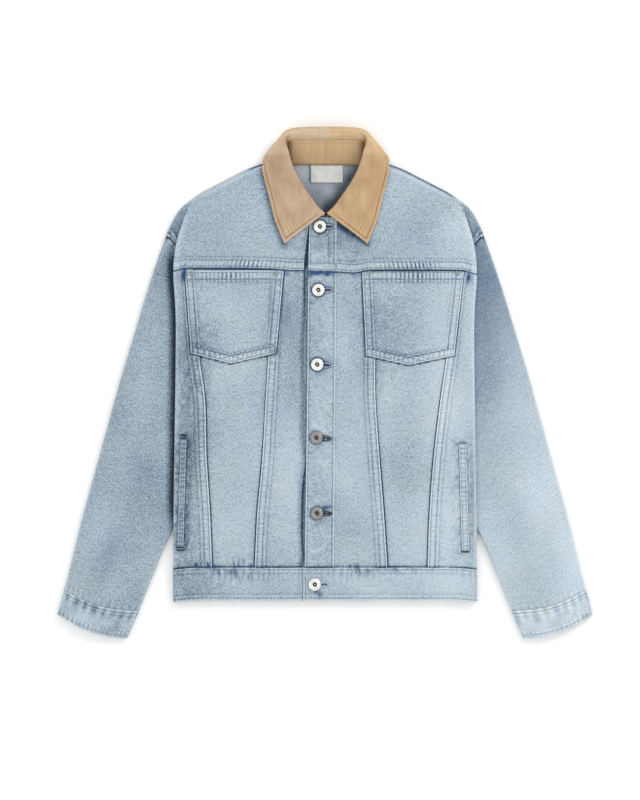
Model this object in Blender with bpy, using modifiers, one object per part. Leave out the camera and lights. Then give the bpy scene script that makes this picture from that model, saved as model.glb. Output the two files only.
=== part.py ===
"""A washed denim jacket with a corduroy collar, buttoned up and laid flat on its back.

The wearer's left is at +X and the collar at +Y. The floor that the jacket lies on is z = 0.
Sizes are given in millimetres and the meshes are made in metres.
"""

import math
from collections import namedtuple

import bmesh
import bpy

MM = 0.001
JACKET = "denim_jacket"

# Cloth
GAP = 0.3
DENIM_WALL = 1.6
DOUBLED_WALL = 2.4
CORDUROY_WALL = 2.0
POCKET_WALL = 1.5
LABEL_WALL = 0.7

# Heights over the floor
BACK_TOP = DENIM_WALL
ON_BACK = BACK_TOP + GAP
PANEL_DROP = 1.0
MIDDLE_PANEL_DROP = 2.0
POCKET_RISE = 1.1
PLACKET_RISE = 0.6
UNDER_PLACKET_DROP = 2.3
SHOULDER_TOP = 8.4
UNDER_SIDE_FOLD = 11.0
HIDDEN_SLEEVE_TOP = 10.6

# Body
BODY_MIDDLE = 0.8
HEM_Y = -334.8
WAIST_SEAM_Y = -283.7
YOKE_SEAM_Y = 176.7
BACK_YOKE_Y = 190.0
PLACKET_TOP_Y = 259.0
FOLD_RADIUS = 3.2
CROWN_OUT = 95.0
SHOULDER_FALL = 45.0
SHOULDER_INSET = 6.2

Edge = namedtuple("Edge", "y half")
BODY_EDGE = [
    Edge(-340, 235.8), Edge(-230, 235.0), Edge(-55, 232.6), Edge(80, 231.0),
    Edge(120, 232.0), Edge(177, 235.0), Edge(222, 229.6), Edge(271.0, 214.7),
]

Height = namedtuple("Height", "y placket crown fold")
FRONT_HEIGHT = [
    Height(-340, 13.4, 13.4, 13.4), Height(-284, 13.4, 13.8, 13.6), Height(-230, 15.2, 18.0, 16.4),
    Height(-100, 18.0, 23.0, 18.2), Height(60, 19.5, 24.5, 18.4), Height(177, 20.0, 24.0, 18.4),
    Height(222, 20.5, 22.4, 17.8), Height(262, 21.0, 20.8, 13.5), Height(300, 20.0, 18.0, 10.5),
    Height(345, 16.0, 14.0, 9.0),
]

# Distances of the front's seams from x = 0, on the wearer's right and left.
Seam = namedtuple("Seam", "y right left")
OUTER_SEAM = [
    Seam(-284, 173.8, 159.3), Seam(-198, 177.0, 162.2), Seam(-110, 182.2, 168.8),
    Seam(-24, 184.6, 179.0), Seam(44, 193.9, 188.8), Seam(177, 204.0, 203.0),
]
INNER_SEAM = [
    Seam(-284, 108.5, 97.8), Seam(-198, 104.2, 91.9), Seam(-117, 96.6, 85.4),
    Seam(-24, 91.1, 78.9), Seam(44, 87.0, 78.4), Seam(177, 80.0, 76.0),
]

# The closed placket: its free edge, and the stitched seam that joins it to the left front.
Placket = namedtuple("Placket", "y edge seam")
PLACKET = [
    Placket(-284, -30.6, 13.2), Placket(-55, -27.6, 15.2), Placket(177, -25.0, 17.4),
    Placket(259, -23.2, 18.0),
]
UNDER_PLACKET_OUT = 6.0
UNDER_PLACKET_END = 2.0

# Shoulder line from the neck to the armhole: half distance from the middle, and height.
Shoulder = namedtuple("Shoulder", "half y")
SHOULDER = [
    Shoulder(98.5, 343.0), Shoulder(121.0, 334.5), Shoulder(146.0, 322.0), Shoulder(170.0, 309.5),
    Shoulder(193.5, 297.0), Shoulder(217.5, 279.0), Shoulder(228.0, 267.4), Shoulder(238.7, 248.8),
    Shoulder(246.8, 231.0),
]

# Sleeves: the two folds of the flattened tube, from the armhole to the cuff's seam.
SleeveEdge = namedtuple("SleeveEdge", "along outer_x outer_y inner_x inner_y")
SLEEVE_EDGES = [
    SleeveEdge(0.00, 246.5, 230.0, 150.0, -24.0), SleeveEdge(0.14, 272.5, 155.8, 170.4, -72.0),
    SleeveEdge(0.27, 295.5, 81.4, 189.0, -116.5), SleeveEdge(0.40, 318.0, 7.0, 207.0, -161.0),
    SleeveEdge(0.54, 338.5, -67.4, 226.5, -206.5), SleeveEdge(0.67, 359.0, -141.8, 245.5, -243.0),
    SleeveEdge(0.80, 379.5, -216.2, 263.5, -287.0), SleeveEdge(0.94, 397.5, -290.6, 281.3, -331.5),
    SleeveEdge(1.00, 405.0, -319.0, 288.7, -350.7),
]
SLEEVE_RINGS = [0, 0.03, 0.07, 0.12, 0.18, 0.25, 0.32, 0.4, 0.48, 0.55, 0.61, 0.67, 0.74, 0.82, 0.91, 1]
SLEEVE_ACROSS = [0.05, 0.16, 0.32, 0.5, 0.68, 0.84]
TUBE_PLACES = 2 * (len(SLEEVE_ACROSS) + 2) + 2
ARMHOLE_BULGE = 24.0
ARMHOLE_FADE = 0.25
CUFF_BOW = 8.0
CUFF_BOW_FROM = 0.7
SLEEVE_CROWN = 22.0
CUFF_CROWN = 15.0
SLEEVE_RISE_FROM = 8.0
SLEEVE_RISE = 70.0
SLEEVE_LANDS_FROM = 20.0
SLEEVE_LANDS = 45.0
CUFF_OUTER = (415.6, -356.3)
CUFF_INNER = (307.6, -394.2)
CUFF_RINGS = 3
CUFF_FOLD = 3.8

# The side panel where it turns under: distance inboard of the sleeve's fold, and height.
TurnUnder = namedtuple("TurnUnder", "inboard z")
TURN_UNDER = [
    TurnUnder(-8.0, 11.0), TurnUnder(-2.0, 10.3), TurnUnder(1.6, 6.2), TurnUnder(4.6, 2.6),
    TurnUnder(14.0, ON_BACK),
]
SIDE_FLATS = (0, 0.35, 0.7)
TURN_STEP = 0.6
CLOSED_FOLD_RADIUS = 4.5
CLOSED_TURN = (3.0, 0.7)
CLEAR_OF_ARMHOLE = 3.5
GUSSET_TOP_Y = 0.0
GUSSET_FADE = 30.0
SIDE_CLOSED_Y = -246.0
SIDE_OPEN_Y = -214.0
PANEL_ROWS = [-283.7, -262, -246, -230, -214, -195, -160, -120, -80, -45, -24, 0, 30, 70, 110, 145, 176.7]

# Front yoke, from the placket to the fold: place along its lower seam, then at its top.
YokeColumn = namedtuple("YokeColumn", "low top_half top_y")
YOKE_COLUMNS = [
    YokeColumn(34, 22.5, 263.6), YokeColumn(52, 42.5, 275.6), YokeColumn(70, 59.0, 291.4),
    YokeColumn(88, 72.0, 307.6), YokeColumn(102, 81.4, 321.0), YokeColumn(112, 86.6, 330.4),
    YokeColumn(121, 88.6, 336.6),
]
YOKE_START_Y = {"right": 267.0, "left": 261.0}
YOKE_SEAM_LOW = [132, 152, 172, 192, 212]
YOKE_ROWS = 7
YOKE_FOLD_TURN = (180.0, 45.0)
YOKE_FOLD_OPENS = 0.4
YOKE_FOLD_RUN = (36.0, 1.5)
YOKE_FOLD_DROP = 0.8

# The yoke's cloth past the fold, and the back yoke's neckline and turn over the shoulder.
CAP_ROWS = 4
CAP_COLUMNS = 3
CAP_UNDER = 6.0
CAP_Z = (8.2, 6.2)
CAP_ARMHOLE = (0.022, 0.1)
BACK_NECK = [(0.0, 340.6), (40.0, 340.6), (68.0, 340.6), (84.0, 340.0)]
BACK_YOKE_FLATS = 2
BACK_YOKE_TURNS = 4

# Collar, from the front to the middle of the back, as half distance, y and z:
# the neck seam, the seam of stand and leaf, the roll, the outermost line and the free edge.
COLLAR_MIDDLE = 2.2
Collar = namedtuple("Collar", "neck seam roll side edge overhang")
COLLAR = [
    Collar((1.5, 259.9, 21.0), (4.6, 262.0, 23.2), (4.2, 262.2, 29.6), (49, 229, 26.2), (64.3, 216.9, 24.9), 3.2),
    Collar((20, 265, 20.6), (15.5, 273, 23.4), (15.2, 273, 30.2), (57.5, 242.5, 26.4), (70.8, 233, 24.9), 3.4),
    Collar((40, 277, 20.0), (29, 291.5, 23.8), (28.8, 291.6, 31), (67, 262, 26.2), (78.6, 252.5, 24.6), 3.4),
    Collar((57, 293, 18.6), (38.6, 305.8, 24.4), (38.5, 305.8, 32), (75, 286, 25), (85.6, 279.5, 23), 3.4),
    Collar((70, 309, 16.2), (46.4, 319.2, 25.2), (46.3, 319, 33.3), (81.5, 303.5, 23.6), (90.8, 299.5, 20.4), 3.4),
    Collar((79, 322, 13.6), (52.4, 332, 26), (52.4, 331.6, 34.4), (87, 321, 21), (95.6, 318.5, 16.8), 3.4),
    Collar((84, 331, 11.6), (57, 345, 26.6), (57, 344.6, 35.4), (91, 337, 18), (99, 335, 13.6), 3.4),
    Collar((85.5, 338, 8.6), (60.4, 357.5, 27), (60.4, 357.6, 36.4), (97.2, 349, 12.5), (93.5, 347.5, 6.0), 3.4),
    Collar((80, 341.8, 4.6), (62.5, 368, 27), (63.6, 370, 37), (90, 362, 12), (84, 354, 3.4), 3.0),
    Collar((68, 342.0, 2.8), (58.5, 375, 26.5), (61.5, 383, 37.6), (76, 377.5, 16), (72, 362, 2.8), 1.5),
    Collar((52, 341.2, 2.4), (48, 376.7, 26), (52, 389, 38), (60, 391.5, 25), (57, 367, 2.8), 0),
    Collar((32, 341.0, 2.4), (30, 376.7, 26), (31, 390.3, 38), (33, 395.2, 31), (33, 370, 2.8), 0),
    Collar((0, 341.0, 2.4), (0, 376.7, 26), (0, 390.5, 38), (0, 395.6, 31), (0, 370, 2.8), 0),
]
STAND_GAP = 0.25

# Waistband: it starts under the placket, goes round the back and ends over the placket.
BAND_TOP = 13.2
BAND_END_OVER = -33.0
BAND_END_UNDER = 15.0
BAND_FLATS = [90, 150, 200]
BACK_EDGE_IN = 1.5
CORNER_DIP_FROM = 190.0
CORNER_DIP = 3.4
ARC_STEPS = 5

# Chest pockets: distances from x = 0 and heights of the five corners.
Pocket = namedtuple("Pocket", "side inner_top outer_top inner_low outer_low point_out low_y point_y")
POCKETS = [
    Pocket("right", 63.1, 216.2, 74.7, 206.5, 145.1, 48.2, 32.7),
    Pocket("left", 58.0, 215.5, 64.2, 200.4, 130.0, 44.7, 30.1),
]
POCKET_TOP_Y = 176.0
POCKET_GRID = 8
RIVET_IN = 11.0
RIVET_DOWN = 4.6
RIVET_PROFILE = [(0, 1.2), (2.4, 1.1), (3.75, 0.5), (3.75, 0), (0, 0)]
RIVET_SIDES = 10

# Welts of the side pockets: from their top to their bottom.
Welt = namedtuple("Welt", "side top_out top_y low_out low_y width")
WELTS = [
    Welt("right", 217.8, -81.4, 223.2, -255.0, 9.0),
    Welt("left", 213.1, -90.7, 218.4, -259.6, 11.0),
]
WELT_WALL = 1.4

LABEL_X = (-21.4, 28.8)
LABEL_Y = (313.6, 340.2)

# Buttons down the front, and the profile of one from its pin to its rim and base.
Button = namedtuple("Button", "x y")
BUTTONS = [
    Button(-7.3, 244.1), Button(-9.6, 146.0), Button(-11.3, 30.8), Button(-12.6, -82.3),
    Button(-11.6, -199.2), Button(-15.0, -309.5),
]
BUTTON_RADIUS = 9.75
BUTTON_PROFILE = [
    (0, 1.9), (1.7, 1.5), (2.1, 0.8), (3.3, 0.8), (3.9, 2.4), (6.0, 3.2), (8.4, 2.6),
    (BUTTON_RADIUS, 1.2), (8.8, 0), (0, 0),
]
BUTTON_SIDES = 14

# Colours of the washed cloth, roughness and metallic value.
Finish = namedtuple("Finish", "colour roughness metallic")
DENIM = Finish((0.43, 0.52, 0.60), 0.9, 0.0)
CORDUROY = Finish((0.58, 0.41, 0.24), 0.95, 0.0)
TAPE = Finish((0.66, 0.67, 0.63), 0.8, 0.0)
BRIGHT_METAL = Finish((0.72, 0.72, 0.71), 0.3, 1.0)
DARK_METAL = Finish((0.30, 0.29, 0.28), 0.4, 1.0)
BUTTON_FINISHES = [BRIGHT_METAL, BRIGHT_METAL, BRIGHT_METAL, DARK_METAL, DARK_METAL, BRIGHT_METAL]

SIDES = {"right": -1, "left": 1}


def mix(low, high, share):
    return low + (high - low) * share


def mix_points(low, high, share):
    return tuple(mix(a, b, share) for a, b in zip(low, high))


def ease(share):
    share = min(max(share, 0.0), 1.0)
    return share * share * (3 - 2 * share)


def read(rows, column, at):
    """A column of a table at a place along its first column, on a smooth curve."""
    keys = [row[0] for row in rows]
    values = [getattr(row, column) for row in rows]
    at = min(max(at, keys[0]), keys[-1])
    last = len(rows) - 1
    i = next(k for k in range(last) if at <= keys[k + 1])
    slopes = []
    for k in (i, i + 1):
        before, after = max(k - 1, 0), min(k + 1, last)
        slopes.append((values[after] - values[before]) / (keys[after] - keys[before]))
    span = keys[i + 1] - keys[i]
    s = (at - keys[i]) / span
    return (
        values[i] * (1 + 2 * s) * (1 - s) ** 2
        + values[i + 1] * s * s * (3 - 2 * s)
        + span * (slopes[0] * s * (1 - s) ** 2 - slopes[1] * s * s * (1 - s))
    )


def body_half(y):
    return read(BODY_EDGE, "half", y)


def shoulder_y(half):
    """Height of the shoulder line, carried on straight past the neck."""
    if half < SHOULDER[0].half:
        return SHOULDER[0].y + (SHOULDER[0].half - half) * 0.1
    return read(SHOULDER, "y", half)


def front_height(x, y):
    """Height of the front's upper face over the floor."""
    half = abs(x - BODY_MIDDLE)
    placket, crown, fold = (read(FRONT_HEIGHT, name, y) for name in ("placket", "crown", "fold"))
    if half < CROWN_OUT:
        height = placket + (crown - placket) * (1 - math.cos(math.pi * half / CROWN_OUT)) / 2
    else:
        past = min((half - CROWN_OUT) / (body_half(y) - CROWN_OUT), 1.0)
        height = fold + (crown - fold) * (1 - past * past)
    below = min(max((shoulder_y(half) - SHOULDER_INSET - y) / SHOULDER_FALL, 0.0), 1.0)
    return SHOULDER_TOP + (height - SHOULDER_TOP) * below * (2 - below)


def corner_dip(x):
    """The hem and the waist seam drop a little towards the side folds."""
    past = max(abs(x - BODY_MIDDLE) - CORNER_DIP_FROM, 0.0)
    return CORNER_DIP * (past / (body_half(HEM_Y) - CORNER_DIP_FROM)) ** 2


def armhole_wave(share):
    """The armhole curves in quickly at the shoulder and runs out straight at the underarm."""
    return max(math.sin(math.pi * share), 0) ** 0.4 * (1 - share ** 3)


def armhole(share):
    """A point of the armhole seam, from the shoulder (0) to the underarm (1)."""
    start = SLEEVE_EDGES[0]
    out = (start.outer_x, start.outer_y)
    down = (start.inner_x - out[0], start.inner_y - out[1])
    length = math.hypot(*down)
    bulge = ARMHOLE_BULGE * armhole_wave(share)
    return (
        out[0] + down[0] * share + down[1] / length * bulge,
        out[1] + down[1] * share - down[0] / length * bulge,
    )


def armhole_half(y):
    """How far out the armhole seam lies at a height above the underarm."""
    low, high = 0.0, 1.0
    for _ in range(30):
        share = (low + high) / 2
        low, high = (share, high) if armhole(share)[1] > y else (low, share)
    return armhole(high)[0]


def sleeve_fold_half(y):
    """How far out the sleeve's inner fold lies at a height below the underarm."""
    rows = sorted((Edge(row.inner_y, row.inner_x) for row in SLEEVE_EDGES), key=lambda row: row.y)
    return read(rows, "half", y)


def material_for(name, finish):
    material = bpy.data.materials.new(name)
    material.use_nodes = True
    shader = material.node_tree.nodes["Principled BSDF"]
    shader.inputs["Base Color"].default_value = (*finish.colour, 1)
    shader.inputs["Roughness"].default_value = finish.roughness
    shader.inputs["Metallic"].default_value = finish.metallic
    return material


def add_object(name, mesh, finish):
    piece = bpy.data.objects.new(name, mesh)
    bpy.data.collections[JACKET].objects.link(piece)
    mesh.materials.append(material_for(name, finish))
    mesh.shade_smooth()
    mesh.set_sharp_from_angle(angle=math.radians(50))
    return piece


def cloth(name, columns, rows, point, wall, finish, closed=False, keep=None, facing_up=None):
    """A grid of cloth: point(column, row) gives its outer face, and the wall lies inside it.

    A closed grid joins its last column to its first. keep(column, row) says which faces stay.
    The highest face, or the one nearest to facing_up, has its outer side up.
    """
    mesh = bpy.data.meshes.new(name)
    grid = bmesh.new()
    bmesh.ops.create_grid(grid, x_segments=columns, y_segments=rows, size=1)
    places = {}
    for vert in grid.verts:
        places[vert] = (round((vert.co.x + 1) / 2 * columns), round((vert.co.y + 1) / 2 * rows))
    if keep:
        spare = [
            face for face in grid.faces
            if not keep(min(places[v][0] for v in face.verts), min(places[v][1] for v in face.verts))
        ]
        bmesh.ops.delete(grid, geom=spare, context="FACES")
    for vert in grid.verts:
        column, row = places[vert]
        vert.co = [value * MM for value in point(column % columns if closed else column, row)]
    if closed:
        bmesh.ops.remove_doubles(grid, verts=grid.verts, dist=0.01 * MM)
    grid.normal_update()
    if facing_up:
        target = [value * MM for value in facing_up]
        guide = min(grid.faces, key=lambda face: math.dist(face.calc_center_median(), target))
    else:
        guide = max(grid.faces, key=lambda face: face.calc_center_median().z)
    if guide.normal.z < 0:
        bmesh.ops.reverse_faces(grid, faces=grid.faces)
    grid.to_mesh(mesh)
    grid.free()
    piece = add_object(name, mesh, finish)
    solid = piece.modifiers.new("Cloth wall", "SOLIDIFY")
    solid.thickness = wall * MM
    solid.offset = -1
    solid.use_even_offset = True
    return piece


def turned(name, profile, sides, place, finish):
    """A turned piece: a profile of radius and height, spun about its own axis."""
    mesh = bpy.data.meshes.new(name)
    mesh.from_pydata([(radius * MM, 0, z * MM) for radius, z in profile],
                     [(i, i + 1) for i in range(len(profile) - 1)], [])
    piece = add_object(name, mesh, finish)
    spin = piece.modifiers.new("Spin", "SCREW")
    spin.steps = spin.render_steps = sides
    spin.use_merge_vertices = True
    spin.merge_threshold = 0.0000001
    piece.location = [value * MM for value in place]
    return piece


def panel(name, near, far, bottom, top, rows, columns, drop):
    """A front panel between two seams: near(y) and far(y) give x, bottom(x) and top(x) give y."""
    low, high = rows[0], rows[-1]

    def point(column, row):
        x = mix(near(rows[row]), far(rows[row]), column / columns)
        y = mix(bottom(x), top(x), (rows[row] - low) / (high - low))
        return x, y, front_height(x, y) - drop

    return cloth(name, columns, len(rows) - 1, point, DENIM_WALL, DENIM)


def panel_bottom(x):
    return WAIST_SEAM_Y - corner_dip(x) + GAP / 2


def panel_top(x):
    return YOKE_SEAM_Y - GAP / 2


def placket_side(side, y):
    """Where a front's panels end at the placket."""
    if side == "left":
        return read(PLACKET, "seam", y) + GAP
    return read(PLACKET, "edge", y) - UNDER_PLACKET_OUT - GAP


def build_centre_and_middle(side):
    sign = SIDES[side]
    panel(f"front_centre_{side}", lambda y: placket_side(side, y),
          lambda y: sign * (read(INNER_SEAM, side, y) - GAP / 2),
          panel_bottom, panel_top, PANEL_ROWS, 4, PANEL_DROP)
    panel(f"front_middle_{side}", lambda y: sign * (read(INNER_SEAM, side, y) + GAP / 2),
          lambda y: sign * (read(OUTER_SEAM, side, y) - GAP / 2),
          panel_bottom, panel_top, PANEL_ROWS, 5, MIDDLE_PANEL_DROP)


def side_section(side, y):
    """Outer face of a side panel at one height, from its seam round the fold to the side seam."""
    fold = body_half(y)
    seam = read(OUTER_SEAM, side, y) + GAP / 2 - SIDES[side] * BODY_MIDDLE
    closing = ease((SIDE_OPEN_Y - y) / (SIDE_OPEN_Y - SIDE_CLOSED_Y))
    top = front_height(BODY_MIDDLE + SIDES[side] * (fold - FOLD_RADIUS), y) - PANEL_DROP
    low = mix(UNDER_SIDE_FOLD, ON_BACK, closing)
    across = mix(FOLD_RADIUS, CLOSED_FOLD_RADIUS, closing)
    points = [(mix(seam, fold - across, share), None) for share in SIDE_FLATS]
    for step in range(ARC_STEPS + 1):
        turn = math.pi * step / ARC_STEPS
        points.append((fold - across + across * math.sin(turn),
                       mix(low, top, (1 + math.cos(turn)) / 2)))
    if y > SLEEVE_EDGES[0].inner_y:
        hidden = armhole_half(y) - CLEAR_OF_ARMHOLE
    else:
        hidden = sleeve_fold_half(y)
    lifted = ease((y - GUSSET_TOP_Y) / GUSSET_FADE)
    for index, row in enumerate(TURN_UNDER, start=1):
        half = min(hidden - row.inboard, fold - across - TURN_STEP * index)
        turned_in = CLOSED_TURN[0] + (row.inboard - TURN_UNDER[0].inboard) * CLOSED_TURN[1]
        closed_half = fold - across - turned_in
        z = mix(mix(row.z, UNDER_SIDE_FOLD, lifted), ON_BACK, closing)
        points.append((mix(half, closed_half, closing), z))
    return points


def build_side(side):
    sign = SIDES[side]
    sections = {}

    def point(column, row):
        nominal = PANEL_ROWS[row]
        if nominal not in sections:
            sections[nominal] = side_section(side, nominal)
        half, z = sections[nominal][column]
        x = BODY_MIDDLE + sign * half
        share = (nominal - PANEL_ROWS[0]) / (PANEL_ROWS[-1] - PANEL_ROWS[0])
        y = mix(panel_bottom(x), panel_top(x), share)
        return x, y, front_height(x, y) - PANEL_DROP if z is None else z

    columns = len(SIDE_FLATS) + ARC_STEPS + len(TURN_UNDER)
    cloth(f"front_side_{side}", columns, len(PANEL_ROWS) - 1, point, DENIM_WALL, DENIM)


def shoulder_normal(index):
    """Direction that points off the shoulder line, seen from above."""
    before, after = SHOULDER[max(index - 1, 0)], SHOULDER[min(index + 1, len(SHOULDER) - 1)]
    length = math.hypot(after.half - before.half, after.y - before.y)
    return (before.y - after.y) / length, (after.half - before.half) / length


def shoulder_inset(index, inset):
    """A point inside the shoulder line; the last one follows the armhole."""
    row = SHOULDER[index]
    if index == len(SHOULDER) - 1:
        target = armhole(0.02)
        length = math.dist(target, (row.half, row.y))
        return mix(row.half, target[0], inset / length), mix(row.y, target[1], inset / length) + 1.0
    out, up = shoulder_normal(index)
    return row.half - out * inset, row.y - up * inset


def build_yoke(side):
    sign = SIDES[side]
    first = 0 if side == "left" else 1
    tops = [(column.low, column.top_half, column.top_y) for column in YOKE_COLUMNS[first:]]
    for index, low in enumerate(YOKE_SEAM_LOW):
        tops.append((low, *shoulder_inset(index, SHOULDER_INSET + GAP)))
    low_y = YOKE_SEAM_Y + GAP / 2
    fold_top_y = BODY_EDGE[-1].y
    flats = len(tops) + 2

    def fold_start(share):
        y = mix(low_y, fold_top_y, share)
        return body_half(y) - FOLD_RADIUS, y

    def point(column, row):
        share = row / YOKE_ROWS
        if column == 0:
            y = mix(low_y, YOKE_START_Y[side], share)
            x = placket_side(side, y)
            return x, y, front_height(x, y)
        if column < flats - 1:
            low, half, top_y = tops[column - 1]
            x, y = BODY_MIDDLE + sign * mix(low, half, share), mix(low_y, top_y, share)
            return x, y, front_height(x, y)
        half, y = fold_start(share)
        top = front_height(BODY_MIDDLE + sign * half, y)
        turned_by = mix(*YOKE_FOLD_TURN, ease((share - YOKE_FOLD_OPENS) / (1 - YOKE_FOLD_OPENS)))
        turn = math.radians(turned_by) * min((column - flats + 1) / 4, 1)
        half += FOLD_RADIUS * math.sin(turn)
        z = top - FOLD_RADIUS * (1 - math.cos(turn))
        if column == flats + 4:
            run = mix(*YOKE_FOLD_RUN, ease(share * 2))
            half, z = half + run * math.cos(turn), z - min(run * math.sin(turn), YOKE_FOLD_DROP)
        return BODY_MIDDLE + sign * half, y, z

    cloth(f"front_yoke_{side}", flats + 4, YOKE_ROWS, point, DENIM_WALL, DENIM)


def build_shoulder_cap(side):
    """The yoke's cloth past the fold, between the shoulder line and the armhole."""
    sign = SIDES[side]
    last = len(SHOULDER) - 1
    corners = [shoulder_inset(index, SHOULDER_INSET + GAP) for index in range(last - 2, last)]
    outers = [corners[0], mix_points(*corners, 0.5), corners[1]]
    outers.append(mix_points(corners[1], armhole(CAP_ARMHOLE[0]), 0.5))
    outers.append((armhole(CAP_ARMHOLE[0])[0] + 0.4, armhole(CAP_ARMHOLE[0])[1] + 1.0))
    deep = armhole(CAP_ARMHOLE[1])

    def point(column, row):
        half, y = outers[row]
        share = row / CAP_ROWS
        inner_y = mix(y - 6, deep[1] + 2.0, ease(share))
        inner = min(body_half(inner_y) - FOLD_RADIUS - CAP_UNDER, deep[0] + 1)
        across = column / CAP_COLUMNS
        return (BODY_MIDDLE + sign * mix(half, inner, across), mix(y, inner_y, across),
                mix(*CAP_Z, ease(across)))

    cloth(f"shoulder_cap_{side}", CAP_COLUMNS, CAP_ROWS, point, DENIM_WALL, DENIM)


def build_back_yoke():
    """Flat under the shoulders; past the neck it turns over the shoulder line to the front."""
    half_outline = BACK_NECK + [(row.half, row.y) for row in SHOULDER]
    necks = len(BACK_NECK)
    last = len(half_outline) - 1
    radius = SHOULDER_TOP / 2

    def point(column, row):
        index = abs(column - last)
        sign = 1 if column >= last else -1
        half, y = half_outline[index]
        low_half = min(half * 0.98, body_half(BACK_YOKE_Y) - 2)
        if index < necks or row <= BACK_YOKE_FLATS:
            inset = radius if index >= necks else 0
            out = shoulder_normal(index - necks) if index >= necks else (0, 0)
            half, y = half - out[0] * inset, y - out[1] * inset
            share = min(row / BACK_YOKE_FLATS, 1)
            return BODY_MIDDLE + sign * mix(low_half, half, share), mix(BACK_YOKE_Y, y, share), 0
        shoulder = index - necks
        turn = math.pi * min((row - BACK_YOKE_FLATS) / BACK_YOKE_TURNS, 1)
        inset = radius * (1 - math.sin(turn))
        if row > BACK_YOKE_FLATS + BACK_YOKE_TURNS:
            inset = SHOULDER_INSET
        x, y = shoulder_inset(shoulder, inset)
        return BODY_MIDDLE + sign * x, y, radius * (1 - math.cos(turn))

    def keep(column, row):
        covered = min(abs(column - last), abs(column + 1 - last)) >= necks
        return row < BACK_YOKE_FLATS or covered

    rows = BACK_YOKE_FLATS + BACK_YOKE_TURNS + 1
    cloth("back_yoke", 2 * last, rows, point, DENIM_WALL, DENIM, keep=keep)


def build_back_panel():
    rows = [WAIST_SEAM_Y, -246, -150, -24, 80, 130, BACK_YOKE_Y]
    columns = [-1] + [-out for out in reversed(BAND_FLATS)] + [0] + BAND_FLATS + [1]

    def point(column, row):
        half = columns[column]
        if column in (0, len(columns) - 1):
            half *= body_half(rows[row]) - BACK_EDGE_IN
        x = BODY_MIDDLE + half
        return x, rows[row] - GAP / 2 if row else panel_bottom(x) + GAP, BACK_TOP

    cloth("back_panel", len(columns) - 1, len(rows) - 1, point, DENIM_WALL, DENIM)


def sleeve_heights(half, y, along):
    """Underside and crown of the sleeve at a place, lower where it lies in the body."""
    outside = half - body_half(y)
    under = ON_BACK * (1 - ease((outside - SLEEVE_LANDS_FROM) / SLEEVE_LANDS))
    crown = mix(SLEEVE_CROWN, CUFF_CROWN, ease((along - 0.5) / 0.5))
    return under, mix(HIDDEN_SLEEVE_TOP, crown, ease((outside - SLEEVE_RISE_FROM) / SLEEVE_RISE))


def tube_point(outer, inner, place, bow, heights, fold):
    """A point round a flattened tube: 0 is its outer fold, and the first half is its top."""
    stops = [fold] + [share * math.dist(outer, inner) for share in SLEEVE_ACROSS]
    stops.append(math.dist(outer, inner) - fold)
    width = math.dist(outer, inner)
    top_points = len(stops)
    if place in (0, top_points + 1):
        across, level = (0.0, 0.5) if place == 0 else (width, 0.5)
    elif place <= top_points:
        across, level = stops[place - 1], 1
    else:
        across, level = stops[2 * top_points + 1 - place], 0
    share = across / width
    x, y = mix_points(outer, inner, share)
    normal = ((inner[1] - outer[1]) / width, -(inner[0] - outer[0]) / width)
    offset = bow(share)
    x, y = x + normal[0] * offset, y + normal[1] * offset
    under, crown = heights(x, y)
    rise = 2 * fold + (crown - under - 2 * fold) * math.sin(math.pi * share) ** 0.6
    return x, y, under + (rise if level == 1 else fold * 2 * level)


def build_sleeve(side):
    sign = SIDES[side]

    def point(place, row):
        along = SLEEVE_RINGS[row]
        names = ("outer_x", "outer_y", "inner_x", "inner_y")
        outer_x, outer_y, inner_x, inner_y = (read(SLEEVE_EDGES, name, along) for name in names)
        armhole_share = max(1 - along / ARMHOLE_FADE, 0) ** 2
        cuff_share = ease((along - CUFF_BOW_FROM) / (1 - CUFF_BOW_FROM))

        def bow(share):
            return (ARMHOLE_BULGE * armhole_share * armhole_wave(share)
                    - CUFF_BOW * cuff_share * math.sin(math.pi * share))

        x, y, z = tube_point((outer_x, outer_y), (inner_x, inner_y), place, bow,
                             lambda half, y: sleeve_heights(half, y, along), FOLD_RADIUS)
        return BODY_MIDDLE + sign * x, y, z

    cloth(f"sleeve_{side}", TUBE_PLACES, len(SLEEVE_RINGS) - 1, point, DENIM_WALL, DENIM, closed=True)


def build_cuff(side):
    sign = SIDES[side]
    seam = SLEEVE_EDGES[-1]
    start = ((seam.outer_x, seam.outer_y), (seam.inner_x, seam.inner_y))
    end = (CUFF_OUTER, CUFF_INNER)
    down = [(b[0] - a[0], b[1] - a[1]) for a, b in zip(start, end)]

    def point(place, row):
        share = mix(GAP / math.hypot(*down[0]), 1, row / CUFF_RINGS)
        outer, inner = (mix_points(a, b, share) for a, b in zip(start, end))
        x, y, z = tube_point(outer, inner, place,
                             lambda across: -CUFF_BOW * math.sin(math.pi * across),
                             lambda half, y: (0.0, CUFF_CROWN), CUFF_FOLD)
        return BODY_MIDDLE + sign * x, y, z

    cloth(f"cuff_{side}", TUBE_PLACES, CUFF_RINGS, point, DOUBLED_WALL, DENIM, closed=True)


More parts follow.
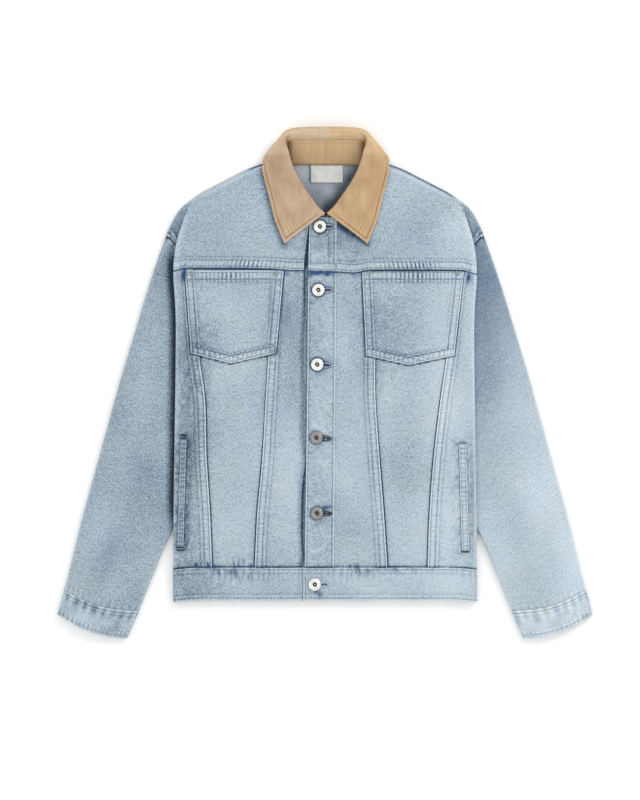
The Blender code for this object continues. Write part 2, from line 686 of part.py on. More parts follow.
def band_path():
    """Outer face of the waistband seen from the hem, as x and z, from one end to the other."""
    radius = BAND_TOP / 2
    under = BAND_TOP - DOUBLED_WALL - 1.5 * GAP
    fold = body_half(HEM_Y) - radius
    path = [(BAND_END_UNDER, under), (-10, under), (BAND_END_OVER - 1.5, under),
            (BAND_END_OVER - 8, BAND_TOP)]
    path += [(BODY_MIDDLE - out, BAND_TOP) for out in BAND_FLATS]
    for step in range(ARC_STEPS + 2):
        turn = math.pi * step / (ARC_STEPS + 1)
        path.append((BODY_MIDDLE - fold - radius * math.sin(turn), radius * (1 + math.cos(turn))))
    path += [(BODY_MIDDLE - out, 0) for out in reversed(BAND_FLATS)]
    path += [(BODY_MIDDLE, 0)] + [(BODY_MIDDLE + out, 0) for out in BAND_FLATS]
    for step in range(ARC_STEPS + 2):
        turn = math.pi * (1 - step / (ARC_STEPS + 1))
        path.append((BODY_MIDDLE + fold + radius * math.sin(turn), radius * (1 + math.cos(turn))))
    path += [(BODY_MIDDLE + out, BAND_TOP) for out in reversed(BAND_FLATS)]
    return path + [(40, BAND_TOP), (0, BAND_TOP), (BAND_END_OVER, BAND_TOP)]


def build_waistband():
    path = band_path()

    def point(column, row):
        x, z = path[column]
        top, hem = panel_bottom(x) - GAP, HEM_Y - corner_dip(x)
        return x, mix(top, hem, row / 2), z

    cloth("waistband", len(path) - 1, 2, point, DOUBLED_WALL, DENIM)


def build_plackets():
    rows = [WAIST_SEAM_Y] + PANEL_ROWS[1:-1] + [176.7, 200, 230, PLACKET_TOP_Y]
    rows[0] += GAP / 2

    def over(column, row):
        y = rows[row]
        x = mix(read(PLACKET, "edge", y), read(PLACKET, "seam", y), column / 2)
        return x, y, front_height(x, y) + PLACKET_RISE

    def under(column, row):
        y = rows[row]
        edge, seam = read(PLACKET, "edge", y), read(PLACKET, "seam", y)
        x = mix(edge - UNDER_PLACKET_OUT, seam - UNDER_PLACKET_END, column / 2)
        return x, y, front_height(x, y) - UNDER_PLACKET_DROP

    cloth("placket_left", 2, len(rows) - 1, over, DOUBLED_WALL, DENIM)
    cloth("placket_right", 2, len(rows) - 1, under, DOUBLED_WALL, DENIM)


def collar_row(column):
    """A row of the collar's table and the side that it is on, from the right front to the left."""
    last = len(COLLAR) - 1
    return COLLAR[last - abs(column - last)], 1 if column >= last else -1


def build_collar_leaf():
    last = len(COLLAR) - 1

    def point(column, row):
        station, sign = collar_row(column)
        out = (station.side[0] - station.roll[0], station.side[1] - station.roll[1])
        length = math.hypot(*out)
        inner = mix_points(station.seam, station.roll, 0.5)
        inner = (inner[0] - out[0] / length * station.overhang,
                 inner[1] - out[1] / length * station.overhang, inner[2])
        half_way = mix_points(station.roll, station.side, 0.5)
        half_way = (half_way[0], half_way[1], half_way[2] + 1.2)
        half, y, z = [station.seam, inner, station.roll, half_way, station.side, station.edge][row]
        return COLLAR_MIDDLE + sign * half, y, z

    cloth("collar_leaf", 2 * last, 5, point, CORDUROY_WALL, CORDUROY)


def build_collar_stand():
    last = len(COLLAR) - 1
    middle = COLLAR[last]

    def point(column, row):
        station, sign = collar_row(column)
        hidden = station.overhang / COLLAR[1].overhang
        top = (station.seam[0], station.seam[1] - STAND_GAP * (1 - hidden),
               station.seam[2] - STAND_GAP - hidden * CORDUROY_WALL * 1.3)
        half, y, z = mix_points(station.neck, top, row / 2)
        return COLLAR_MIDDLE + sign * half, y, z

    target = mix_points(middle.neck, middle.seam, 0.5)
    cloth("collar_stand", 2 * last, 2, point, CORDUROY_WALL, CORDUROY,
          facing_up=(COLLAR_MIDDLE, target[1], target[2]))


def build_label():
    def point(column, row):
        return LABEL_X[column], LABEL_Y[row], ON_BACK + LABEL_WALL

    cloth("neck_label", 1, 1, point, LABEL_WALL, TAPE)


def build_pocket(pocket):
    sign = SIDES[pocket.side]

    def point(column, row):
        across, up = column / POCKET_GRID, row / POCKET_GRID
        low = mix(pocket.inner_low, pocket.outer_low, across)
        half = mix(low, mix(pocket.inner_top, pocket.outer_top, across), up)
        if low < pocket.point_out:
            to_point = (low - pocket.inner_low) / (pocket.point_out - pocket.inner_low)
        else:
            to_point = (pocket.outer_low - low) / (pocket.outer_low - pocket.point_out)
        y = mix(mix(pocket.low_y, pocket.point_y, to_point), POCKET_TOP_Y, up)
        x = sign * half
        return x, y, front_height(x, y) + POCKET_RISE

    cloth(f"chest_pocket_{pocket.side}", POCKET_GRID, POCKET_GRID, point, POCKET_WALL, DENIM)
    for place, half in (("inner", pocket.inner_top + RIVET_IN), ("outer", pocket.outer_top - RIVET_IN)):
        x, y = sign * half, POCKET_TOP_Y - RIVET_DOWN
        turned(f"pocket_rivet_{place}_{pocket.side}", RIVET_PROFILE, RIVET_SIDES,
               (x, y, resting_height(x, y, 4) + POCKET_RISE + GAP), BRIGHT_METAL)


def resting_height(x, y, radius):
    """The highest place of the front under a round piece."""
    ring = [(x + radius * math.cos(a * math.pi / 4), y + radius * math.sin(a * math.pi / 4))
            for a in range(8)]
    return max(front_height(*place) for place in [(x, y)] + ring)


def build_welt(welt):
    sign = SIDES[welt.side]
    rows = 8

    def point(column, row):
        half = mix(welt.low_out, welt.top_out, row / rows) + (column - 0.5) * welt.width
        x, y = sign * half, mix(welt.low_y, welt.top_y, row / rows)
        return x, y, front_height(x, y) - PANEL_DROP + GAP + WELT_WALL

    cloth(f"pocket_welt_{welt.side}", 1, rows, point, WELT_WALL, DENIM)


def build_buttons():
    for number, (button, finish) in enumerate(zip(BUTTONS, BUTTON_FINISHES), start=1):
        on_band = button.y < WAIST_SEAM_Y
        cloth_top = BAND_TOP if on_band else (
            resting_height(button.x, button.y, BUTTON_RADIUS) + PLACKET_RISE)
        turned(f"button_{number}", BUTTON_PROFILE, BUTTON_SIDES,
               (button.x, button.y, cloth_top + GAP), finish)


def main():
    for leftover in list(bpy.data.objects):
        bpy.data.objects.remove(leftover)
    bpy.context.scene.collection.children.link(bpy.data.collections.new(JACKET))
    build_back_panel()
    build_back_yoke()
    for side in SIDES:
        build_sleeve(side)
        build_cuff(side)
        build_side(side)
        build_centre_and_middle(side)
        build_yoke(side)
        build_shoulder_cap(side)
    build_plackets()
    build_waistband()
    build_collar_stand()
    build_collar_leaf()
    build_label()
    for pocket in POCKETS:
        build_pocket(pocket)
    for welt in WELTS:
        build_welt(welt)
    build_buttons()


main()
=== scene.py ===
# A washed denim jacket with a corduroy collar, buttoned up and laid flat on its back.
# Sizes are in millimetres until a mesh is made. The wearer's left is +X, the collar is at +Y.
import math

import bpy
import numpy as np
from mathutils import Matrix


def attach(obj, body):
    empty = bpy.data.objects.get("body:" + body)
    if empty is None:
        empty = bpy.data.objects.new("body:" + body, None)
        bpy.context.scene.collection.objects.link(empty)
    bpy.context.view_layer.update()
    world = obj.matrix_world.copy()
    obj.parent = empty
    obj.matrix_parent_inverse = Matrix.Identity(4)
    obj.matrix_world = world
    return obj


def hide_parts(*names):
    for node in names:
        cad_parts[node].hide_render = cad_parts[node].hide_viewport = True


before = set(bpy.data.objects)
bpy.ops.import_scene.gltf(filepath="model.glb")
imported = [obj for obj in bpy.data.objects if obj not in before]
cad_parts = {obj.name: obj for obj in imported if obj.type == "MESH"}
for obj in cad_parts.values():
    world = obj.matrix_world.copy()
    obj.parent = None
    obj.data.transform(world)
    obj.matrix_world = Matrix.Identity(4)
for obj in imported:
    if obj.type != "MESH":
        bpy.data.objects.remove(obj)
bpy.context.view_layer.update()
mm = 0.001
sides = {"right": -1, "left": 1}
print("frame loaded:", len(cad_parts), "nodes")


def mix(low, high, share):
    return low + (high - low) * share


def ease(share):
    share = np.clip(share, 0, 1)
    return share * share * (3 - 2 * share)


def hill(distance, width):
    return np.exp(-(distance / width) ** 2)


def follow(table, name, at):
    # one column of a table read along its first column, on a smooth curve
    keys = np.array(next(iter(table.values())), float)
    values = np.array(table[name], float)
    last = len(keys) - 1
    before, after = np.maximum(np.arange(last + 1) - 1, 0), np.minimum(np.arange(last + 1) + 1, last)
    slopes = (values[after] - values[before]) / (keys[after] - keys[before])
    at = np.clip(np.asarray(at, float), keys[0], keys[-1])
    i = np.clip(np.searchsorted(keys, at, side="left") - 1, 0, last - 1)
    span = keys[i + 1] - keys[i]
    s = (at - keys[i]) / span
    return (values[i] * (1 + 2 * s) * (1 - s) ** 2 + values[i + 1] * s * s * (3 - 2 * s)
            + span * (slopes[i] * s * (1 - s) ** 2 - slopes[i + 1] * s * s * (1 - s)))


noiseTable = np.random.RandomState(11).rand(64, 64)


def swells(x, y, sizeX, sizeY, turn=0):
    # smooth random swells from -1 to 1, about one size across
    a, b = x / sizeX + 13.7 * turn, y / sizeY + 7.3 * turn
    i, j = np.floor(a).astype(int), np.floor(b).astype(int)
    s, t = ease(a - i), ease(b - j)
    low = mix(noiseTable[i % 64, j % 64], noiseTable[(i + 1) % 64, j % 64], s)
    high = mix(noiseTable[i % 64, (j + 1) % 64], noiseTable[(i + 1) % 64, (j + 1) % 64], s)
    return 2 * mix(low, high, t) - 1


def creaseLines(x, y, rows):
    # each row is one soft crease: from x, y to x, y, its half width, and its height or depth
    total = 0
    for x0, y0, x1, y1, width, height in rows:
        length = math.hypot(x1 - x0, y1 - y0)
        along = ((x - x0) * (x1 - x0) + (y - y0) * (y1 - y0)) / length ** 2
        off = ((x - x0) * (y1 - y0) - (y - y0) * (x1 - x0)) / length
        taper = np.sin(np.pi * np.clip(along, 0, 1)) ** 0.7
        total = total + height * taper * hill(off, width)
    return total


def patches(x, y, rows):
    # soft spots: centre, reach each way and strength
    total = 0
    for x0, y0, reachX, reachY, strength in rows:
        ragged = 1 + 0.45 * swells(x, y, 5, 7, 3)
        total = total + strength * hill((x - x0) / reachX, ragged) * hill((y - y0) / reachY, ragged)
    return total


def streaks(x, y, rows):
    # soft spots broken up along the warp
    broken = np.clip(0.45 + 1.4 * swells(x + 0.15 * y, y, 2.4, 9, 4), 0, 1.3)
    return sum(strength * hill((x - x0) / reachX, 1) * hill((y - y0) / reachY, 1)
               for x0, y0, reachX, reachY, strength in rows) * broken


def puckers(along, off, reach, size=7.4, turn=0):
    # the small uneven waves that a seam draws into cloth as it shrinks in the wash
    drift = 2.4 * np.sin(along / 29 + turn) + 1.5 * swells(along, 0 * along + 5 * turn, 15, 15)
    wave = np.sin(2 * np.pi * along / size + drift + 2.1 * turn)
    strength = 0.6 + 0.4 * swells(along, 0 * along + 17 * turn, 31, 31)
    return wave * strength * hill(off, reach)


def tickMarks(along, spacing, turn=0):
    # small uneven dark marks along a stitch row, from -1 to 1
    return np.sin(2 * np.pi * along / spacing + 5 * swells(along, 0 * along + 9 * turn, 19, 19, turn))


def stitchedBand(d, rows, width, rise, drop=1.3, along=None):
    # a folded edge: d is the distance in from it. Height, and how washed out it is
    height = rise * (1 - ease((d - width) / 3.0)) - drop * (1 - ease(d / 1.7)) - 0.15
    washAndShade = 1.5 * hill(d - 1.1, 1.0) + 0.3 * hill(d - width, 1.2) - 0.55 * hill(d - width - 2.4, 1.6)
    for number, row in enumerate(rows):
        ticks = 0 if along is None else tickMarks(along, 4.4, number)
        height = height - 0.4 * hill(d - row, 0.95)
        washAndShade = washAndShade - (0.85 + 0.5 * ticks) * hill(d - row, 0.95)
    if len(rows) > 1:
        middle = sum(rows) / len(rows)
        washAndShade = washAndShade + 0.45 * hill(d - middle, abs(rows[-1] - rows[0]) / 3)
        if along is not None:
            washAndShade = washAndShade - 0.4 * np.clip(tickMarks(along, 5.6, 5), 0, 1) * hill(d - middle, 2.6)
    return height, washAndShade


# sizes shared by the pieces
body = {
    "middle": 0.8, "hemY": -334.8, "waistSeamY": -283.7, "backYokeY": 190.0, "placketTopY": 259.0,
    "foldRadius": 3.2, "closedFoldRadius": 4.5, "panelDrop": 1.0, "middleDrop": 2.0,
    "placketRise": 0.6, "underPlacketDrop": 2.3, "shoulderTop": 8.4,
    "crownOut": 95.0, "shoulderFall": 45.0, "shoulderInset": 6.2, "onBack": 1.9,
    "cornerDipFrom": 190.0, "cornerDip": 3.4, "bandTop": 13.2,
}
bodyEdge = {
    "y": (-340, -230, -55, 80, 120, 177, 222, 271),
    "half": (235.8, 235.0, 232.6, 231.0, 232.0, 235.0, 229.6, 214.7),
}
frontLift = {
    "y": (-340, -284, -230, -100, 60, 177, 222, 262, 300, 345),
    "placket": (13.4, 13.4, 15.2, 18.0, 19.5, 20.0, 20.5, 21.0, 20.0, 16.0),
    "crown": (13.4, 13.8, 18.0, 23.0, 24.5, 24.0, 22.4, 20.8, 18.0, 14.0),
    "fold": (13.4, 13.6, 16.4, 18.2, 18.4, 18.4, 17.8, 13.5, 10.5, 9.0),
}
outerSeam = {
    "y": (-284, -198, -110, -24, 44, 177),
    "right": (173.8, 177.0, 182.2, 184.6, 193.9, 204.0),
    "left": (159.3, 162.2, 168.8, 179.0, 188.8, 203.0),
}
innerSeam = {
    "y": (-284, -198, -117, -24, 44, 177),
    "right": (108.5, 104.2, 96.6, 91.1, 87.0, 80.0),
    "left": (97.8, 91.9, 85.4, 78.9, 78.4, 76.0),
}
placketLines = {
    "y": (-284, -55, 177, 259),
    "edge": (-30.6, -27.6, -25.0, -23.2),
    "seam": (13.2, 15.2, 17.4, 18.0),
}
yokeEdge = {  # the yoke's lower edge, a little uneven as it was pressed
    "x": (-236, -227, -217, -170, -130, -90, -66, -50, -30, -20, 20, 36, 47, 56, 66, 130, 213, 224, 236),
    "y": (175.4, 178.0, 180.2, 180.0, 179.8, 178.8, 177.6, 176.6, 176.6, 175.4, 174.6, 173.4, 172.8,
          174.6, 176.6, 177.0, 176.6, 174.2, 170.8),
}
shoulderLine = {
    "half": (98.5, 121.0, 146.0, 170.0, 193.5, 217.5, 228.0, 238.7, 246.8),
    "y": (343.0, 334.5, 322.0, 309.5, 297.0, 279.0, 267.4, 248.8, 231.0),
}
# large soft swells of the front, and its main creases, listed one by one
frontCreases = {
    "swells": (105, 160, 0.9), "ripples": (24, 85, 0.32),
    "lines": [
        (-222, 120, -205, 20, 5, -0.8), (-214, 60, -200, -60, 8, 0.9), (-190, -110, -150, -250, 11, -0.9),
        (-150, 20, -110, -120, 12, 0.9), (-70, 150, -52, -20, 9, -0.8), (-60, -60, -45, -240, 8, 0.8),
        (40, 150, 34, 20, 8, -0.7), (50, -10, 60, -170, 9, 0.8), (110, 10, 150, -140, 12, -0.9),
        (205, 130, 222, 10, 6, 0.8), (200, -20, 222, -150, 7, -0.7), (140, -160, 120, -270, 10, 0.8),
        (-200, 262, -150, 190, 10, -0.9), (-120, 300, -135, 205, 12, 0.8), (205, 250, 160, 190, 11, 0.9),
        (120, 290, 150, 200, 12, -0.8), (-60, 255, -90, 190, 8, 0.6), (75, 245, 60, 190, 8, -0.6),
    ],
}
# spots where the indigo has stayed; those just below the yoke's edge also deepen its painted shadow
bluePatches = [
    (-217.5, 170, 3.4, 9, 1.4), (223, 166, 4.2, 9, 1.5), (-58, 172, 6, 5, 0.6), (48, 168, 7, 4, 0.5),
    (-14, 171, 17, 3.6, 1.0), (8, 170, 12, 3, 0.7), (-2, 34, 13, 10, 0.5), (6, 150, 9, 5, 0.35),
    (3, -190, 9, 4.0, 1.1), (8, -84, 8, 4, 0.35), (-13, -319, 3, 5, 0.8), (-8, -326, 4, 5, 0.8),
    (229, -170, 4, 80, 0.4), (-226, -236, 3, 20, 0.5), (-75, 51, 5, 7, 0.7),
    (-84, 120, 4, 50, 0.3), (-60, 110, 9, 30, 0.3), (205, 60, 8, 40, 0.2),
]
blueStreaks = [  # and where it has stayed in streaks, by the waistband's seam
    (-186, -281, 12, 6, 1.2), (-128, -278, 17, 9, 1.1), (-124, -294, 18, 9, 0.9), (-160, -287, 18, 6, 0.6),
    (56, -292, 20, 8, 0.42), (40, -281, 34, 4, 0.55), (100, -286, 60, 4, 0.6), (-200, -279, 9, 4, 0.8),
]
# the spots along the wearer's right side are painted shade, those along the left painted light
toneSpots = [  # broad darker and paler areas of the wash, and of painted light and shade
    (-210, -120, 30, 120, -0.55), (-205, 60, 26, 70, -0.4), (-45, 60, 24, 110, -0.25), (190, 0, 36, 170, 0.4),
    (-120, 110, 50, 40, 0.15), (70, 60, 24, 90, -0.25), (150, -230, 60, 60, 0.15), (-55, -150, 26, 90, 0.25),
    (60, 215, 60, 30, -0.22), (-130, 240, 60, 40, -0.05), (200, 240, 30, 30, 0.3), (50, -100, 30, 90, 0.2),
    (-200, -310, 60, 30, -0.4), (200, -310, 50, 30, 0.25), (0, 230, 26, 26, -0.35),
    (128, -110, 40, 150, -0.28), (128, 100, 60, 50, -0.24), (-8, -30, 16, 110, 0.2),
    (-195, -160, 20, 80, 0.2), (-120, -110, 40, 110, 0.1), (212, 50, 16, 90, -0.16),
    (130, 250, 70, 50, -0.12), (-50, -120, 16, 110, 0.1), (-8, -190, 18, 60, -0.18), (-8, 40, 16, 60, -0.1),
    (200, -210, 30, 50, 0.24), (-130, 110, 50, 50, -0.1), (130, 110, 60, 50, 0.06),
    (-215, -230, 18, 40, -0.1),
]


def bodyHalf(y):
    return follow(bodyEdge, "half", y)


def shoulderY(half):
    first, top = shoulderLine["half"][0], shoulderLine["y"][0]
    return np.where(half < first, top + (first - half) * 0.1, follow(shoulderLine, "y", half))


def frontHeight(x, y):
    half = np.abs(x - body["middle"])
    placket, crown, fold = (follow(frontLift, name, y) for name in ("placket", "crown", "fold"))
    inner = placket + (crown - placket) * (1 - np.cos(np.pi * half / body["crownOut"])) / 2
    past = np.clip((half - body["crownOut"]) / (bodyHalf(y) - body["crownOut"]), 0, 1)
    height = np.where(half < body["crownOut"], inner, fold + (crown - fold) * (1 - past ** 2))
    below = np.clip((shoulderY(half) - body["shoulderInset"] - y) / body["shoulderFall"], 0, 1)
    return body["shoulderTop"] + (height - body["shoulderTop"]) * below * (2 - below)


def clothHeight(x, y):
    # the front's own form with its swells and creases
    half = np.abs(x - body["middle"])
    swell, ripple = frontCreases["swells"], frontCreases["ripples"]
    form = (swell[2] * swells(x, y, swell[0], swell[1])
            + ripple[2] * swells(x + 0.12 * y, y, ripple[0], ripple[1], 1))
    form = form + creaseLines(x, y, frontCreases["lines"])
    calm = ease((y + 281) / 34) * ease((shoulderY(half) - 8 - y) / 30) * ease((bodyHalf(y) - half - 3) / 16)
    return frontHeight(x, y) + form * calm


def cornerDip(x):
    past = np.maximum(np.abs(x - body["middle"]) - body["cornerDipFrom"], 0)
    return body["cornerDip"] * (past / (bodyHalf(body["hemY"]) - body["cornerDipFrom"])) ** 2


def waistLine(x):
    return body["waistSeamY"] - cornerDip(x)


def frontTone(x, y):
    # broad tone of the washed front, with painted light and shade across it, the painted shadow under the
    # yoke's edge, and its blue spots
    # painted light: paler towards the lamp on the wearer's left
    tone = 0.09 * (x / 235) - 0.03 + patches(x, y, toneSpots) + 0.12 * swells(x, y, 55, 90, 5)
    yokeGap = y - follow(yokeEdge, "y", x)
    tone = tone - 0.35 * hill(y - waistLine(x) - 1.5, 5) * (0.6 + 0.4 * swells(x, y, 20, 20, 2))
    seamLine = hill(y - waistLine(x) - 1.0, 1.3) * (0.85 + 0.3 * swells(x, y, 18, 18, 6))
    tone = tone - 1.5 * seamLine
    half = np.abs(x - body["middle"])
    overPocket = ease((half - 62) / 14) * ease((216 - half) / 5) * (0.25 + 0.75 * hill(half - 125, 40))
    blue = patches(x, y, bluePatches) + streaks(x, y, blueStreaks) + 0.25 * seamLine
    # below the yoke's edge: its painted shadow, widest over the pockets, with retained indigo
    blue = blue + 1.35 * ease((yokeGap + mix(0.9, 4.2, overPocket)) / mix(1.0, 2.2, overPocket))
    tone = tone - 1.5 * hill(yokeGap + 0.6, mix(1.5, 2.6, overPocket))
    return tone, blue


def linear(hexCode):
    # sRGB hex to linear
    values = [int(hexCode[i:i + 2], 16) / 255 for i in (1, 3, 5)]
    return tuple(v / 12.92 if v <= 0.04045 else ((v + 0.055) / 1.055) ** 2.4 for v in values) + (1.0,)


def addNode(tree, kind, settings=None, links=None):
    made = tree.nodes.new(kind)
    for name, value in (settings or {}).items():
        if isinstance(name, str) and hasattr(made, name):
            setattr(made, name, value)
        else:
            made.inputs[name].default_value = value
    for name, source in (links or {}).items():
        tree.links.new(source, made.inputs[name])
    return made


def startMaterial(name, settings):
    material = bpy.data.materials.new(name)
    material.use_nodes = True
    tree = material.node_tree
    shader = tree.nodes["Principled BSDF"]
    for socket, value in settings.items():
        shader.inputs[socket].default_value = value
    return material, tree, shader


def fillRamp(ramp, stops):
    while len(ramp.elements) > 1:
        ramp.elements.remove(ramp.elements[-1])
    for number, (place, hexCode) in enumerate(stops):
        stop = ramp.elements[0] if number == 0 else ramp.elements.new(place)
        stop.position, stop.color = place, linear(hexCode)


def noiseFrom(tree, where, size, detail, **more):
    # soft noise whose spots are about a size across, in millimetres
    return addNode(tree, "ShaderNodeTexNoise", {"Scale": 1000 / size, "Detail": detail, **more},
                   {"Vector": where}).outputs["Fac"]


def scaled(tree, source, amount, added):
    # a source times an amount, added to another source or number
    settings, links = {"operation": "MULTIPLY_ADD", 1: amount}, {0: source}
    (settings if isinstance(added, float) else links)[2] = added
    return addNode(tree, "ShaderNodeMath", settings, links).outputs[0]


def rampFrom(tree, source, stops):
    made = addNode(tree, "ShaderNodeValToRGB", {}, {"Fac": source})
    fillRamp(made.color_ramp, stops)
    return made.outputs["Color"]


def tintedBy(tree, colour, share, tint):
    # a colour multiplied by a tint, as far as the share says
    settings, links = {"data_type": "RGBA", "blend_type": "MULTIPLY"}, {6: colour}
    for socket, value in ((0, share), (7, tint)):
        (settings if isinstance(value, (float, tuple)) else links)[socket] = value
    return addNode(tree, "ShaderNodeMix", settings, links).outputs[2]


def finishShader(tree, shader, colour, height, strength, distance):
    # the base colour, and the fine relief as bump
    tree.links.new(colour, shader.inputs["Base Color"])
    bumps = addNode(tree, "ShaderNodeBump", {"Strength": strength, "Distance": distance}, {"Height": height})
    tree.links.new(bumps.outputs[0], shader.inputs["Normal"])


def makeDenim(name, look):
    # Cotton twill, stone washed: matt, the blue warp rubbed back to white in flecks
    # along the warp, with a faint diagonal rib and a thin fuzz at grazing angles.
    material, tree, shader = startMaterial(name, {
        "Roughness": look["roughness"], "IOR": 1.53, "Sheen Weight": look["sheen"], "Sheen Roughness": 0.5,
        "Sheen Tint": linear("#dfe6ee"), "Specular IOR Level": 0.35})
    uv = addNode(tree, "ShaderNodeUVMap", {"uv_map": "grain"}).outputs["UV"]
    # the tone attribute holds each piece's wash together with the light and shade painted on it
    washAndShade = addNode(tree, "ShaderNodeAttribute", {"attribute_name": look["washName"]}).outputs["Fac"]
    blue = addNode(tree, "ShaderNodeAttribute", {"attribute_name": "blue"}).outputs["Fac"]
    # slubs: the warp yarns are 0.5 mm apart, drawn as flecks about 2 by 3 mm so that they show
    stretched = addNode(tree, "ShaderNodeMapping", {"Scale": (1, 0.6, 1)}, {"Vector": uv})
    flecks = noiseFrom(tree, stretched.outputs[0], look["fleck"], 2.5, Roughness=0.62)
    # mottle of the stone wash, 9 mm across, and its broad clouds, 70 mm across
    mottle, clouds = noiseFrom(tree, uv, 9, 3.0), noiseFrom(tree, uv, 70, 2.0)
    # the twill's diagonal rib is 0.6 mm wide, drawn 2.3 mm wide so that it shows
    turned = addNode(tree, "ShaderNodeMapping", {"Rotation": (0, 0, math.radians(58))}, {"Vector": uv})
    rib = addNode(tree, "ShaderNodeTexWave", {
        "Scale": math.pi / 10 / (2.3 * mm), "Distortion": 2.6, "Detail": 3.0, "Detail Scale": 2.0},
        {"Vector": turned.outputs[0]}).outputs["Fac"]
    total = washAndShade
    for source, amount in ((flecks, look["flecks"]), (mottle, look["mottle"]), (clouds, look["clouds"]),
                           (rib, look["rib"])):
        centred = addNode(tree, "ShaderNodeMath", {"operation": "SUBTRACT", 1: 0.5}, {0: source})
        total = scaled(tree, centred.outputs[0], amount, total)
    level = addNode(tree, "ShaderNodeMapRange", {"From Min": -1.6, "From Max": 1.6}, {"Value": total})
    colour = rampFrom(tree, level.outputs[0], look["ramp"])
    # where the indigo stayed it breaks up along the flecks
    share = addNode(tree, "ShaderNodeMath", {"operation": "MULTIPLY", "use_clamp": True},
                    {0: blue, 1: scaled(tree, flecks, 1.3, 0.35)})
    dyed = addNode(tree, "ShaderNodeMix", {"data_type": "RGBA", 7: linear(look["indigo"])},
                   {0: share.outputs[0], 6: colour})
    # the wash leaves broad areas a little bluer or greyer, 60 mm across
    tint = rampFrom(tree, noiseFrom(tree, uv, 60, 1.0, Distortion=0.6), look["tints"])
    tinted = tintedBy(tree, dyed.outputs[2], 1.0, tint)
    finishShader(tree, shader, tinted, scaled(tree, flecks, 0.7, rib), look["bump"], 0.0005)
    return material


denimLook = {
    "washName": "washAndShade",
    "roughness": 0.9, "sheen": 0.12, "fleck": 1.9, "flecks": 2.8, "mottle": 0.55, "clouds": 0.55, "rib": 0.12,
    "bump": 0.6, "indigo": "#284a74", "tints": [(0.34, "#f3f7fb"), (0.5, "#f7f8fa"), (0.66, "#f9f8f6")],
    "ramp": [(0.0, "#1e2c3b"), (0.2, "#5e707e"), (0.38, "#8d9eaa"), (0.52, "#adbcc6"), (0.7, "#c4d0d8"),
             (1.0, "#e9eef3")],
}
insideLook = dict(denimLook, ramp=[(0.0, "#4b5560"), (0.4, "#7f8a93"), (0.6, "#959fa8"), (1.0, "#b9c1c8")],
                  flecks=2.2, mottle=0.6, clouds=0.8, washName="inner")
washedDenim = makeDenim("Cotton denim, stone washed", denimLook)
insideDenim = makeDenim("Cotton denim, wrong side", insideLook)


def makeCorduroy(name, look):
    # Cotton corduroy, cut pile: soft matt ribs, pale on their crowns as painted light and brown in the
    # grooves as painted shade, with a nap that lightens at grazing angles.
    material, tree, shader = startMaterial(name, {
        "Roughness": 0.95, "IOR": 1.53, "Sheen Weight": 0.35, "Sheen Roughness": 0.45,
        "Sheen Tint": linear("#f3dcc0"), "Specular IOR Level": 0.25})
    uv = addNode(tree, "ShaderNodeUVMap", {"uv_map": "grain"}).outputs["UV"]
    washAndShade = addNode(tree, "ShaderNodeAttribute", {"attribute_name": "washAndShade"}).outputs["Fac"]
    split = addNode(tree, "ShaderNodeSeparateXYZ", {}, {0: uv})
    bent = scaled(tree, noiseFrom(tree, uv, 1000 / 90, 2.0), 0.0006, split.outputs["X"])
    turn = addNode(tree, "ShaderNodeMath", {"operation": "MULTIPLY", 1: 2 * math.pi * 1000 / look["wale"]},
                   {0: bent})
    crest = addNode(tree, "ShaderNodeMath", {"operation": "SINE"}, {0: turn.outputs[0]}).outputs[0]
    pile, cloud = noiseFrom(tree, uv, 1.4, 2.0), noiseFrom(tree, uv, 22, 3.0)
    total = washAndShade
    for source, amount in ((crest, look["waleTone"]), (pile, look["pileTone"]), (cloud, look["cloudTone"])):
        total = scaled(tree, source, amount, total)
    level = addNode(tree, "ShaderNodeMapRange", {"From Min": -1.0, "From Max": 2.0}, {"Value": total})
    colour = rampFrom(tree, level.outputs[0], look["ramp"])
    # the wearer's left leaf and the stand have kept a yellower tan
    yellow = addNode(tree, "ShaderNodeAttribute", {"attribute_name": "blue"}).outputs["Fac"]
    dyed = tintedBy(tree, colour, yellow, linear(look["yellow"]))
    finishShader(tree, shader, dyed, scaled(tree, pile, 0.35, crest), 0.4, 0.0005)
    return material


# ten wales to the inch are 2.6 mm apart, drawn 3.2 mm apart so that they show
corduroyLook = {"wale": 3.2, "waleTone": 0.12, "pileTone": 0.9, "cloudTone": 0.7, "yellow": "#fff6df",
                "ramp": [(0.0, "#5f432c"), (0.3, "#a2856a"), (0.55, "#bfa68c"), (0.75, "#d0b99e"),
                         (1.0, "#ead9c1")]}
tanCorduroy = makeCorduroy("Cotton corduroy, cut pile", corduroyLook)


def makeThread(name, hexCode, deepHex):
    # Spun sewing thread: matt with a slight glint on the twist.
    material, tree, shader = startMaterial(name, {
        "Roughness": 0.6, "IOR": 1.53, "Sheen Weight": 0.1, "Specular IOR Level": 0.4})
    where = addNode(tree, "ShaderNodeTexCoord").outputs["Object"]
    colour = rampFrom(tree, noiseFrom(tree, where, 6.25, 2.0), [(0.3, deepHex), (0.7, hexCode)])
    twist = addNode(tree, "ShaderNodeTexWave", {"Scale": 400.0, "Distortion": 2.0}, {"Vector": where})
    finishShader(tree, shader, colour, twist.outputs["Fac"], 0.4, 0.0002)
    return material


blueThread = makeThread("Sewing thread, grey blue spun polyester", "#9fb0be", "#64798d")
paleThread = makeThread("Buttonhole twist, pale blue spun polyester", "#cdd6de", "#a3b1bf")
tanThread = makeThread("Sewing thread, tan spun polyester", "#c9a478", "#a98356")
greenThread = makeThread("Sewing thread, sea green spun polyester", "#6fa9a4", "#3f7f80")
navyThread = makeThread("Sewing thread, dark teal spun polyester", "#2a3c45", "#16232a")


